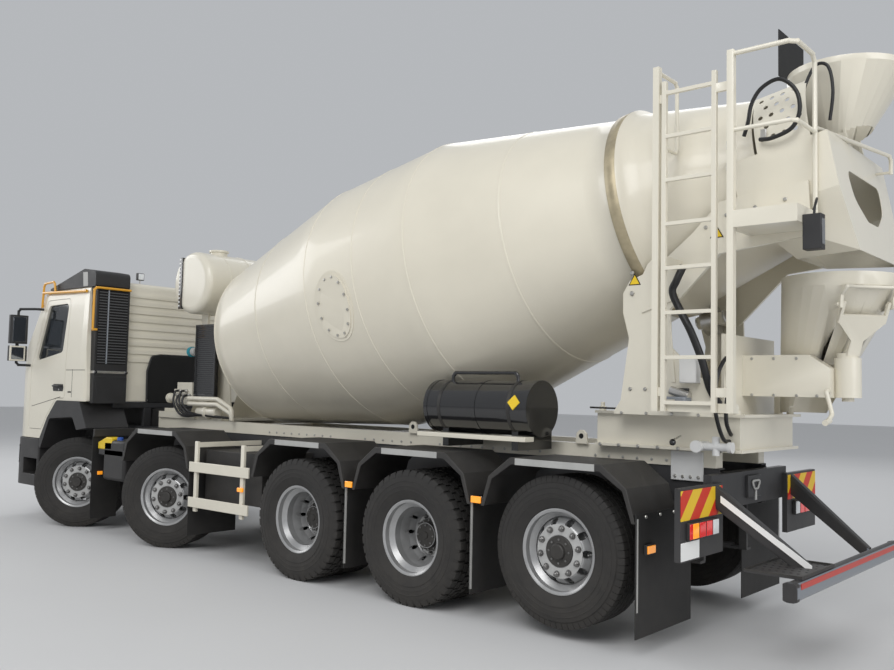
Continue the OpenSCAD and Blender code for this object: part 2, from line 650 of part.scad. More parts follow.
module cab_trim() {
    arch_top = cab_floor - seat_gap;
    arch = [[x1 - 521, 1193, 0], [x1 - 287, 1160, 0], [x1 - 176, 1310, 60], [x1 + 400, 1275, 60],
            [x1 + 605, 899, 0], [x1 + 646, 925, 0], [x1 + 640, 1012, 20], [x1 + 457, 1286, 60],
            [x1 + 239, arch_top, 70], [x1 - 329, arch_top, 60]];
    duct_x = cab_rear_x - 70;
    box_z = 2870;
    arm_x = x1 + 770;
    mirror_x = x1 + 1000;
    mirror_y = cab_y + 180;
    mirror_plan = rounded([[-70, -115, 50], [45, -115, 60], [45, 115, 60], [-70, 115, 30]]);
    color(charcoal) {
        both_sides() pull_y(rounded(arch), 700, cab_y + 10);
        // air intake duct behind the cab and its long box on the roof
        difference() {
            union() {
                span_box([duct_x, 740, cab_floor - 20],
                         [cab_rear_x + wall_lean + 10, 1165, box_z - seat_gap]);
                pull_y(rounded([[duct_x, box_z, 20], [x1 + 640, box_z, 10], [x1 + 620, 2895, 30],
                                [x1 - 222, 3095, 120], [duct_x, 3050, 60]]), 745, 1190);
            }
            cab_block(-seat_gap);
            // leaves room for the cab's floor edge and the trim
            span_box([cab_rear_x - seat_gap, 700, 1400], [x1, 1200, cab_floor + 20]);
        }
        // mirrors on arms from the front pillars
        both_sides() {
            tube_run([[arm_x, 1200, 2640], [arm_x, 1290, 2640], [mirror_x, mirror_y, 2640],
                      [mirror_x, mirror_y, 2550]], 16);
            tube_run([[mirror_x, cab_y - 0.5, 1930], [mirror_x, mirror_y, 1930],
                      [mirror_x, mirror_y, 1990]], 16);
            translate([mirror_x, mirror_y, 0]) {
                pull_z(mirror_plan, 2200, 2560);
                pull_z(mirror_plan, 1980, 2170);
                translate([0, 0, 2160]) cylinder(r = 20, h = 50);
            }
        }
    }
}
module roof_rails() {
    y = cab_y - 14;
    r = 14;
    rail_r = 17;
    hook_x = x1 - 525;
    color(orange) {
        both_sides() {
            // hoop over the front pillar and the rail along the roof's edge
            tube_run([[x1 + 775, y, 2660], [x1 + 745, y, 2965], [x1 + 470, y, 2976],
                      [x1 + 440, y, 2838]], r);
            bar([x1 + 757, y, 2848], [x1 - 345, y, 2815], rail_r);
            for (x = [x1 + 600, x1 + 100, x1 - 300]) bar([x, cab_y - 38, 2830], [x, y, 2830], 10);
            bar([x1 + 775, cab_y - 30, 2690], [x1 + 773, y, 2690], 12);
        }
        // hand hold behind the air intake
        tube_run([[hook_x, 745, 2851], [hook_x, y, 2851], [hook_x, y, 2350]], r);
        span_box([hook_x - 15, 1166, 2340], [hook_x + 10, y, 2365]);
        span_box([hook_x - 5, 1166, 2340], [cab_rear_x - seat_gap, 1180, 2365]);
        span_box([hook_x - 5, 900, 2841], [cab_rear_x - 70 - seat_gap, 920, 2861]);
    }
}
module lamps() {
    color(orange) {
        both_sides() {
            // side markers: on the guard's post and between the fenders
            span_box([x2 - 1540, guard_y + seat_gap, 710], [x2 - 1460, guard_y + 20, 750]);
            for (n = [2, 3])
                span_box([axle_x[n + 1] + fender_half + seat_gap, fender_y - 12, 880],
                         [axle_x[n] - fender_half - flap_t - 2 * seat_gap, fender_y + 4, 930]);
            // rear lamp clusters
            span_box([frame_rear - 125, fender_y - 530, 790],
                     [frame_rear - 100 - seat_gap, fender_y - 90, 900]);
        }
        // work lamp behind the platform
        span_box([x1 - 8770, 860, 2620], [platform_rear - seat_gap, 940, 2840]);
    }
}

// Drum drive: pedestal, gearbox and pump ahead of the drum
module at_drum() { translate([x1 - drum_back, 0, drum_z]) rotate([0, -(90 - drum_tilt), 0]) children(); }
drive_shaft_r = 60;
gear_r = 270;
gear_l = 380;
plate_top = sub_top + 30;
module drum_drive() {
    px = x1 - drum_back;
    color(white) {
        difference() {
            at_drum() {
                translate([0, 0, -gear_l - 30]) cylinder(r = gear_r, h = gear_l);
                translate([0, 0, -gear_l - 130]) cylinder(r = 160, h = 101);
            }
            at_drum() translate([0, 0, -120]) cylinder(r = drive_shaft_r + pin_gap, h = 200);
        }
        both_sides() pull_y([[px + 60, sub_top], [px + 900, sub_top], [px + 560, drum_z - 150],
                             [px + 150, drum_z - 120]], 280, 300);
        span_box([px + 100, -300, drum_z - 330], [px + 600, 300, drum_z - 280]);
        span_box([px + 60, -rail_y, sub_top], [px + 950, rail_y, plate_top]);
        // valve box and, hung on the left side plate, the cooler
        span_box([px + 600, 299, 1490], [px + 900, 470, 1750]);
        span_box([px + 180, 410 + seat_gap, 1590], [px + 576, 455, 2420]);
        for (z = [1640, 1900]) span_box([px + 340, 299, z], [px + 380, 411 + seat_gap, z + 40]);
    }
}
module water_tank() {
    tx = x1 - 1600;
    tz = 2900;
    dome = 75;
    color(white) {
        translate([tx, 0, tz]) {
            spin_y([[0, -water_l / 2],
                    for (a = [0:15:90])
                        [water_r + dome * (sin(a) - 1), -water_l / 2 + dome * (1 - cos(a))],
                    for (a = [90:-15:0])
                        [water_r + dome * (sin(a) - 1), water_l / 2 - dome * (1 - cos(a))],
                    [0, water_l / 2]]);
        }
        both_sides() span_box([tx - 60, 380, plate_top + seat_gap], [tx + 60, 410, tz - water_r + 40]);
    }
}
module additive_tank() {
    tx = x1 - 6110;
    tz = sub_top + 50 + additive_r;
    ty = 780;
    color(black) {
        translate([0, ty, tz]) rod_x(additive_r, tx - additive_l / 2, tx + additive_l / 2);
        for (x = [tx - 350, tx + 350])
            span_box([x - 30, rail_y + 10, sub_top - 60], [x + 30, ty + 120, sub_top + 100]);
        tube_run([[tx + 330, ty + 60, tz + additive_r - 20], [tx + 330, ty + 60, tz + additive_r + 60],
                  [tx - 330, ty + 60, tz + additive_r + 60], [tx - 330, ty + 60, tz + additive_r - 20]], 14);
    }
}

// Drum: a revolved shell with its track ring and the drive flange
module drum() {
    t = drum_t;
    color(white) at_drum() {
        rotate_extrude($fn = 96) polygon([
            [0, 0], [drum_front_r, 0], [907, 439], [1224, 2276], [drum_r, 3533],
            [ring_r - 34, ring_s - ring_w / 2 - 20], [ring_r, ring_s - ring_w / 2],
            [ring_r, ring_s + ring_w / 2],
            [ring_r - 42, ring_s + ring_w / 2 + 20], [mouth_r, mouth_s], [mouth_r - t, mouth_s],
            [ring_r - 42 - t, ring_s + ring_w / 2 + 20], [ring_r - 34 - t, ring_s - ring_w / 2 - 20],
            [drum_r - t, 3533], [1224 - t, 2276], [907 - t, 439 + t],
            [drum_front_r - t, t], [0, t]
        ]);
        translate([0, 0, -30 + seat_gap]) cylinder(r = 230, h = 31);
        translate([0, 0, -110]) cylinder(r = drive_shaft_r, h = 111);
    }
}
roller_at = ring_r + seat_gap + roller_r;
module at_roller(side) {
    at_drum() translate([-roller_at * cos(roller_angle), side * roller_at * sin(roller_angle), ring_s])
        children();
}
roller_pin_r = 28;
module drum_roller(side) {
    color(silver) at_roller(side) difference() {
        translate([0, 0, -roller_w / 2]) cylinder(r = roller_r, h = roller_w);
        translate([0, 0, -roller_w]) cylinder(r = roller_pin_r + pin_gap, h = 2 * roller_w);
    }
}
module roller_left() { drum_roller(LEFT); }
module roller_right() { drum_roller(RIGHT); }

// Rear pedestal: base box, side plates up to the roller seats, and the chute's console
base_front = x1 - 6950;
base_rear = x1 - 8080;
base_top = 1585;
plate_y = 640;
plate_t = 20;
plate_out = plate_y + plate_t;
sleeve_r = 88;
sleeve_low = 1715;
sleeve_top = 1990;
module rear_pedestal() {
    column = [[x1 - 7185, base_top - 1], [x1 - 7240, 1667], [x1 - 7298, 2064], [x1 - 7305, 2123],
              [x1 - 7255, 2309], [x1 - 7254, 2452], [x1 - 7309, 2545], [x1 - 7415, 2585],
              [x1 - 7450, 2655], [x1 - 7500, 2700], [x1 - 7620, 2700], [x1 - 7640, 2050],
              [x1 - 7950, 1750], [x1 - 7950, base_top - 1]];
    arm = [[x1 - 7600, 2290], [x1 - 7600, 2690], [x1 - 7800, 2850], [x1 - 8000, 3050],
           [x1 - 8600, 3120], [x1 - 8620, 2760], [x1 - 8000, 2690]];
    color(white) {
        // base box with its flanges
        span_box([base_rear, -500, sub_top], [base_front, 500, base_top]);
        span_box([base_rear - 30, -540, sub_top], [base_front, 540, sub_top + 20]);
        span_box([base_rear - 50, -540, base_top - 20], [base_front, 540, base_top]);
        both_sides() {
            pull_y(column, plate_y, plate_out);
            pull_y(arm, hood_y + seat_gap, plate_out);
            span_box([x1 - 7950, 539, base_top - 20], [x1 - 7185, plate_out, base_top]);
        }
        // cross plates of the column
        span_box([x1 - 7330, -plate_y - 1, base_top - 1], [x1 - 7310, plate_y + 1, 2000]);
        span_box([x1 - 7950, -470, base_top - 1], [x1 - 7930, 470, 2150]);
        // roller pins and their seats on the side plates
        for (side = [LEFT, RIGHT]) at_roller(side) {
            translate([0, 0, -roller_w / 2 - 60]) cylinder(r = roller_pin_r, h = roller_w + 120);
            for (end = [-1, 1]) translate([-60, side > 0 ? -45 : -150, end * (roller_w / 2 + 35) - 25])
                cube([100, 195, 50]);
        }
        // console, its top cut back below the chute, and the sleeve of the swivel pin
        pull_y([[x1 - 8568, sleeve_low], [x1 - 7950 - seat_gap, sleeve_low],
                [x1 - 7950 - seat_gap, 2010], [x1 - 8425, 2010], [x1 - 8568, 1915]], 40, 150);
        difference() {
            translate([x1 - swivel_back, 0, sleeve_low]) cylinder(r = sleeve_r, h = sleeve_top - sleeve_low);
            translate([x1 - swivel_back, 0, sleeve_low - 10]) cylinder(r = swivel_r + pin_gap, h = 400);
        }
    }
}

// Chute: a funnel-headed trough on a bracket that swivels below the hood's outlet. The bracket's
// plate leans back along the trough's underside; both are drawn pointing along +X.
tilt_x = -215;
tilt_z = 2340;
tilt_pin_r = 14;
neck_x = -55;
neck_z = 2020;
plate_lean = atan2(neck_x - tilt_x, tilt_z - neck_z);
plate_l = norm([tilt_x - neck_x, tilt_z - neck_z]);
module at_swivel() { translate([x1 - swivel_back, 0, 0]) rotate([0, 0, chute_dir]) children(); }
module chute_bracket() {
    plate = [[-45, -10], [45, -10], [45, 100], [170, 235], [170, 290], [-170, 290], [-170, 235], [-45, 100]];
    color(white) at_swivel() {
        translate([0, 0, 1690]) cylinder(r = swivel_r, h = 310);
        translate([0, 0, sleeve_top + seat_gap]) cylinder(r = 72, h = 32);
        translate([neck_x, 0, neck_z]) rotate([0, -plate_lean, 0]) {
            pull_x(plate, -16, 0);
            both_sides() {
                span_box([-16, 152, 230], [6, 172, plate_l + 24]);
                translate([0, 0, plate_l]) rod_y(tilt_pin_r, 151, 212);
            }
        }
    }
}
module chute_form(t) {
    hull() {
        translate([90, 0, chute_top - 90]) cylinder(r = chute_head_r - t, h = t > 0 ? 100 : 90, $fn = 32);
        translate([600, 0, t > 0 ? 1590 : 1600])
            cylinder(r = chute_foot_r - t, h = t > 0 ? 30 : 20, $fn = 32);
    }
}
module chute() {
    cheek = [[-240, 2315], [-190, 2315], [-40, 2300], [-40, 2462], [-312, 2462], [-312, 2440], [-250, 2400]];
    color(white) at_swivel() difference() {
        union() {
            chute_form(0);
            both_sides() pull_y(cheek, 177, 199);
            translate([-300, 0, 2452]) rod_y(12, -199, 199);
        }
        chute_form(sheet_t);
        translate([tilt_x, 0, tilt_z]) rod_y(tilt_pin_r + seat_gap, -230, 230);
    }
}

// Hood: a box round the lower half of the drum's mouth, tapering to the outlet over the chute
hood_start = 6100;
module outlet(t, z0) {
    pull_z([[x1 - 8400 - t, -300 + t], [x1 - 8400 - t, 300 - t], [x1 - 8862 + t, 470 - t],
            [x1 - 8862 + t, -470 + t]], z0, outlet_z + 1);
}
module hood_form(t) {
    hull() {
        at_drum() span_box([-380, -hood_y + t, hood_start + t], [t > 0 ? 10 : 0, hood_y - t, hood_end - t]);
        outlet(t, outlet_z);
    }
}
module hood() {
    guard_from = 44;
    guard_turn = 47;
    guard_s = 6290;
    guard_l = 360;
    view_cut = rounded([[-220, -370, 60], [-220, 370, 60], [-420, 330, 150], [-550, 120, 120],
                        [-550, -120, 120], [-420, -330, 150]]);
    color(white) {
        difference() {
            hood_form(0);
            hood_form(sheet_t);
            outlet(sheet_t, outlet_z - 10);
            at_drum() {
                span_box([-380 + sheet_t, -hood_y + sheet_t, hood_start - 50],
                         [20 + sheet_t, hood_y - sheet_t, hood_start + 50]);
                translate([0, 0, hood_start - 100]) cylinder(r = hood_y - 7, h = mouth_s + 115 - hood_start);
                translate([0, 0, hood_end - 20]) linear_extrude(40) polygon(view_cut);
            }
        }
        // perforated guards beside the mouth, just inside the side panels
        both_sides() at_drum() difference() {
            rotate([0, 0, guard_from]) translate([0, 0, guard_s])
                rotate_extrude(angle = guard_turn, $fn = 96)
                translate([hood_y - 7, 0]) square([sheet_t, guard_l]);
            for (a = [50:8:82], i = [0:3]) rotate([0, 0, a])
                translate([560, 0, guard_s + 50 + i * 75 + (a % 16 == 2 ? 0 : 37)]) rotate([0, 90, 0])
                cylinder(r = 17, h = 100, $fn = 16);
        }
    }
}
hopper_x = x1 - 8650;
module hopper_form(t) {
    hull() {
        translate([hopper_x, 0, hopper_top - 40]) cylinder(r = hopper_r - t, h = t > 0 ? 50 : 40, $fn = 32);
        translate([x1 - 8600, 0, t > 0 ? 3490 : 3500]) cylinder(r = 160 - t, h = t > 0 ? 30 : 20, $fn = 32);
    }
}
module hopper() {
    color(white) difference() {
        union() {
            hopper_form(0);
            // legs on the hood's rear plate
            both_sides() at_drum() translate([seat_gap, 150, hood_end - 17]) cube([330, 30, 17]);
        }
        hopper_form(sheet_t);
    }
}

// Ladder: two posts with the platform and the rails, and the part that slides between the posts
post_front = x1 - 7700;
post_rear = x1 - 8228;
post_top = 3960;
platform_rear = x1 - 8657;
ladder_low = 1600;
module ladder_frame() {
    h = post_w / 2;
    in_y = ladder_y - h;
    arm_y = plate_out + seat_gap;
    rail_x = x1 - 8641;
    rail_end = -390;
    deck_low = platform_z - 110;
    color(white) {
        for (x = [post_front, post_rear])
            span_box([x - h, in_y, ladder_low], [x + h, ladder_y + h, post_top]);
        // arms to the pedestal's side plate, and the lower beam
        span_box([post_front - 20, arm_y, 2600], [post_front + 20, in_y + 1, 2660]);
        span_box([post_rear - 20, arm_y, 2790], [post_rear + 20, in_y + 1, 2850]);
        span_box([post_front - 20, arm_y, ladder_low + 20], [post_front + 20, in_y + 1, ladder_low + 80]);
        span_box([post_rear - h, in_y - 40, ladder_low], [post_front + h, in_y + 1, ladder_low + 60]);
        // platform behind the ladder
        span_box([platform_rear, arm_y, deck_low], [post_rear - h + 1, ladder_y + h, platform_z]);
        span_box([platform_rear, 600, deck_low], [x1 - 8625, arm_y + 1, platform_z]);
        // guard rails and the hand hold
        tube_run([[post_rear, ladder_y, 3936], [rail_x, ladder_y, 3936], [rail_x, 650, 3936],
                  [rail_x, 650, platform_z - 10]], 16, 45);
        tube_run([[post_rear, ladder_y, 3430], [rail_x, ladder_y, 3430], [rail_x, 652, 3430]], 14);
        tube_run([[rail_x, 650, 3460], [x1 - 8830, rail_end, 3460], [x1 - 8830, rail_end, 3330]], 14);
        bar([x1 - 8830, rail_end, 3345], [x1 - 8730.5, rail_end, 3345], 10);
        tube_run([[post_front, ladder_y - 10, 3930], [post_front, 705, 3930], [post_front, 705, 3420],
                  [post_front, ladder_y - 10, 3420]], 14);
    }
}
module sliding_ladder() {
    stile = 32;
    front = x1 - 7757;
    rear = x1 - 8114;
    y0 = ladder_y - stile / 2;
    color(white) {
        for (x = [front, rear]) span_box([x - stile / 2, y0, ladder_low], [x + stile / 2, y0 + stile, 3850]);
        for (i = [0:7])
            span_box([rear, y0 + 4, 1647 + i * rung_pitch], [front, y0 + stile, 1672 + i * rung_pitch]);
        // guide shoes along the posts
        for (z = [1700, 3700]) {
            span_box([front, y0 + 4, z], [post_front - post_w / 2 - seat_gap, y0 + 28, z + 60]);
            span_box([post_rear + post_w / 2 + seat_gap, y0 + 4, z], [rear, y0 + 28, z + 60]);
        }
    }
}
module rear_guard() {
    bar_x = x1 - 8640;
    bar_z = underrun_z - 60;
    bar_half = fender_y - 130;
    panel_in = fender_y - 650;
    profile = rounded([[bar_x - 45, bar_z - 60, 40], [bar_x + 45, bar_z - 60, 40],
                       [bar_x + 45, bar_z + 60, 40], [bar_x - 45, bar_z + 60, 40]]);
    color(chassis_grey) {
        pull_y(profile, -bar_half, bar_half);
        // step plate on the bar's left end
        span_box([bar_x - 30, 400, underrun_z - 1], [bar_x + 330, 1000, underrun_z + 9]);
        both_sides() {
            // arm down to the bar, and the panel that carries the lamps
            hull() {
                span_box([frame_rear - 100, 670, 985], [frame_rear - 60 - seat_gap, 730, 1110]);
                span_box([bar_x + 30, 560, bar_z - 20], [bar_x + 44, 620, bar_z + 60]);
            }
            span_box([frame_rear - 100, panel_in, 660],
                     [frame_rear - 60 - seat_gap, fender_y - 10, 1120]);
        }
    }
}

frame_rails();
engine_block();
steer_axle_beams();
drive_axles();
side_boxes();
side_guards();
fenders();
rubber_flaps();
cab_shell();
cab_glass();
cab_interior();
front_bumper();
cab_trim();
roof_rails();
lamps();
subframe();
drum_drive();
water_tank();
additive_tank();
rear_pedestal();
hood();
hopper();
ladder_frame();
rear_guard();
drum();
roller_left();
roller_right();
chute_bracket();
chute();
sliding_ladder();
door_left();
door_right();
glass_door_left();
glass_door_right();
knuckle(0, LEFT);  // knuckle_1_left
knuckle(0, RIGHT);  // knuckle_1_right
knuckle(1, LEFT);  // knuckle_2_left
knuckle(1, RIGHT);  // knuckle_2_right
knuckle(4, LEFT);  // knuckle_5_left
knuckle(4, RIGHT);  // knuckle_5_right
tyre(0, LEFT);  // tyre_1_left
tyre(0, RIGHT);  // tyre_1_right
tyre(1, LEFT);  // tyre_2_left
tyre(1, RIGHT);  // tyre_2_right
tyre(2, LEFT);  // tyre_3_left
tyre(2, RIGHT);  // tyre_3_right
tyre(3, LEFT);  // tyre_4_left
tyre(3, RIGHT);  // tyre_4_right
tyre(4, LEFT);  // tyre_5_left
tyre(4, RIGHT);  // tyre_5_right
rim(0, LEFT);  // rim_1_left
rim(0, RIGHT);  // rim_1_right
rim(1, LEFT);  // rim_2_left
rim(1, RIGHT);  // rim_2_right
rim(2, LEFT);  // rim_3_left
rim(2, RIGHT);  // rim_3_right
rim(3, LEFT);  // rim_4_left
rim(3, RIGHT);  // rim_4_right
rim(4, LEFT);  // rim_5_left
rim(4, RIGHT);  // rim_5_right
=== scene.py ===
"""Finishes and fine pieces of the five-axle concrete mixer truck, laid out as an add-on."""

import json
import math

import bmesh
import bpy
from mathutils import Matrix, Vector

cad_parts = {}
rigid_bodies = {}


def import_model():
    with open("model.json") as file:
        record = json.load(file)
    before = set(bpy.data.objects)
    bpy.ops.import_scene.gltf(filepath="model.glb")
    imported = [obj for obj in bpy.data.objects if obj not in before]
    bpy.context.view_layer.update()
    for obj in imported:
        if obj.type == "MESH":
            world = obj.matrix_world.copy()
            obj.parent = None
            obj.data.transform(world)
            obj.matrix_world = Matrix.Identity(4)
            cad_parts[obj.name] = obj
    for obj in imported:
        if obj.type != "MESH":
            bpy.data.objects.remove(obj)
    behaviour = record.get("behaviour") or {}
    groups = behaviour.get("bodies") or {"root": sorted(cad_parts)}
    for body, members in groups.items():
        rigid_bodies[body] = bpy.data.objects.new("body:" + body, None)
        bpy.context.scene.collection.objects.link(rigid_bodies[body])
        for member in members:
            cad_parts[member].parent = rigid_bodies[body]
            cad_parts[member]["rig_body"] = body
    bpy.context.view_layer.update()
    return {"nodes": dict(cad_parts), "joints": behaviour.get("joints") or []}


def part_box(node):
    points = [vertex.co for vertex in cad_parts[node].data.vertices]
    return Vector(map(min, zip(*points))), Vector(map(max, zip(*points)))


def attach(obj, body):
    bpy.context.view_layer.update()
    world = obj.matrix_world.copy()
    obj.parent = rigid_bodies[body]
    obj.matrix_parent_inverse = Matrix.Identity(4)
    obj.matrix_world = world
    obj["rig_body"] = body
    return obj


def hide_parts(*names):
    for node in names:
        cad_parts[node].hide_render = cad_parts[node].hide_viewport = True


bl_info = {
    "name": "Concrete mixer truck dressing",
    "version": (1, 0, 0),
    "blender": (4, 5, 0),
    "location": "View3D > Sidebar > Mixer",
    "description": "Dresses the mixer truck's frame with finishes and fine pieces",
    "category": "Object",
}

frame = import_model()
SIDES = (("left", 1), ("right", -1))
AXLES = (1, 2, 3, 4, 5)
TWIN_AXLES = (3, 4)
WHEELS = [(n, name, side) for n in AXLES for name, side in SIDES]


def joint(name):
    return next(j for j in frame["joints"] if j["name"] == name)


def joint_place(name):
    return Vector(joint(name)["pos_m"])


AXLE_X = {n: joint_place(f"spin_{n}_left").x for n in TWIN_AXLES}
AXLE_X.update({n: joint_place(f"steer_{n}_left").x for n in (1, 2, 5)})
X1 = AXLE_X[1]
FENDER_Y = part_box("fenders")[1].y
FENDER_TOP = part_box("fenders")[1].z
DRUM_AXIS = Vector(joint("drum_spin")["axis"]).normalized()
DRUM_FRONT = joint_place("drum_spin")
TRACK_PLACE, TRACK_HALF, TRACK_RADIUS = 5.281, 0.06, 0.84
DRUM_UP = Vector((-DRUM_AXIS.z * DRUM_AXIS.x, 0, 1 - DRUM_AXIS.z ** 2)).normalized()


def at_drum(s, radius, degrees):
    """A point at length s behind the drum's front end, turned from the top towards the left."""
    a = math.radians(degrees)
    return DRUM_FRONT + DRUM_AXIS * s + DRUM_UP * radius * math.cos(a) + Vector((0, radius * math.sin(a), 0))


def back(x, y, z):
    """A point given by its distance behind the first axle."""
    return Vector((X1 - x, y, z))


# Finishes: each one is a procedural material on Object coordinates.
MATERIALS = {}


def finish(name, colour, rough=0.4, metal=0.0, tone=0.06, tone_size=1.4, grain=0.0, grain_size=300.0,
           dust=0.0, dust_top=1.3, coat=0.0, glow=0.0, alpha=1.0, sheen=0.0):
    """A finish with a slow change of tone, a fine grain and dust that thins out upwards."""
    if name in MATERIALS:
        return MATERIALS[name]
    mat = bpy.data.materials.new(name)
    mat.use_nodes = True
    tree = mat.node_tree
    shader = tree.nodes["Principled BSDF"]
    shader.inputs["Metallic"].default_value = metal
    shader.inputs["Coat Weight"].default_value = coat
    shader.inputs["Coat Roughness"].default_value = 0.08
    shader.inputs["Sheen Weight"].default_value = sheen
    new, link = tree.nodes.new, tree.links.new
    place = new("ShaderNodeTexCoord")
    clouds = new("ShaderNodeTexNoise")
    clouds.inputs["Scale"].default_value = tone_size
    clouds.inputs["Detail"].default_value = 5.0
    clouds.inputs["Roughness"].default_value = 0.6
    link(place.outputs["Object"], clouds.inputs["Vector"])
    shade = new("ShaderNodeValToRGB")
    shade.color_ramp.elements[0].position, shade.color_ramp.elements[1].position = 0.3, 0.7
    for element, part in zip(shade.color_ramp.elements, (1 - tone, 1 + tone)):
        element.color = (*[min(1.0, c * part) for c in colour], 1)
    link(clouds.outputs["Fac"], shade.inputs["Fac"])
    base = shade.outputs["Color"]
    if dust:
        split = new("ShaderNodeSeparateXYZ")
        link(place.outputs["Object"], split.inputs[0])
        height = new("ShaderNodeMapRange")
        height.inputs["From Min"].default_value = 0.0
        height.inputs["From Max"].default_value = dust_top
        height.inputs["To Min"].default_value = dust
        height.inputs["To Max"].default_value = dust * 0.12
        link(split.outputs["Z"], height.inputs["Value"])
        specks = new("ShaderNodeTexNoise")
        specks.inputs["Scale"].default_value = 9.0
        specks.inputs["Detail"].default_value = 8.0
        specks.inputs["Roughness"].default_value = 0.7
        link(place.outputs["Object"], specks.inputs["Vector"])
        share = new("ShaderNodeMath")
        share.operation = "MULTIPLY"
        link(height.outputs[0], share.inputs[0])
        link(specks.outputs["Fac"], share.inputs[1])
        over = new("ShaderNodeMix")
        over.data_type = "RGBA"
        link(share.outputs[0], over.inputs["Factor"])
        link(base, over.inputs[6])
        over.inputs[7].default_value = (0.30, 0.26, 0.21, 1)
        base = over.outputs[2]
    link(base, shader.inputs["Base Color"])
    gloss = new("ShaderNodeMapRange")
    gloss.inputs["To Min"].default_value = max(0.02, rough * 0.75)
    gloss.inputs["To Max"].default_value = min(1.0, rough * 1.3)
    link(clouds.outputs["Fac"], gloss.inputs["Value"])
    link(gloss.outputs[0], shader.inputs["Roughness"])
    if grain:
        fine = new("ShaderNodeTexNoise")
        fine.inputs["Scale"].default_value = grain_size
        fine.inputs["Detail"].default_value = 3.0
        link(place.outputs["Object"], fine.inputs["Vector"])
        bump = new("ShaderNodeBump")
        bump.inputs["Strength"].default_value = grain
        bump.inputs["Distance"].default_value = 0.002
        link(fine.outputs["Fac"], bump.inputs["Height"])
        link(bump.outputs[0], shader.inputs["Normal"])
    if glow:
        shader.inputs["Emission Color"].default_value = (*colour, 1)
        shader.inputs["Emission Strength"].default_value = glow
    if alpha < 1:
        shader.inputs["Alpha"].default_value = alpha
    MATERIALS[name] = mat
    return mat


def striped(name, first, second, width, direction):
    """A board painted in slanting stripes of two colours."""
    mat = finish(name, first, rough=0.45, tone=0.0)
    tree = mat.node_tree
    new, link = tree.nodes.new, tree.links.new
    place = next(n for n in tree.nodes if n.type == "TEX_COORD")
    dot = new("ShaderNodeVectorMath")
    dot.operation = "DOT_PRODUCT"
    dot.inputs[1].default_value = direction
    link(place.outputs["Object"], dot.inputs[0])
    part = new("ShaderNodeMath")
    part.operation = "PINGPONG"
    part.inputs[1].default_value = width
    link(dot.outputs["Value"], part.inputs[0])
    edge = new("ShaderNodeMath")
    edge.operation = "GREATER_THAN"
    edge.inputs[1].default_value = width / 2
    link(part.outputs[0], edge.inputs[0])
    mix = new("ShaderNodeMix")
    mix.data_type = "RGBA"
    link(edge.outputs[0], mix.inputs["Factor"])
    mix.inputs[6].default_value = (*first, 1)
    mix.inputs[7].default_value = (*second, 1)
    link(mix.outputs[2], tree.nodes["Principled BSDF"].inputs["Base Color"])
    return mat


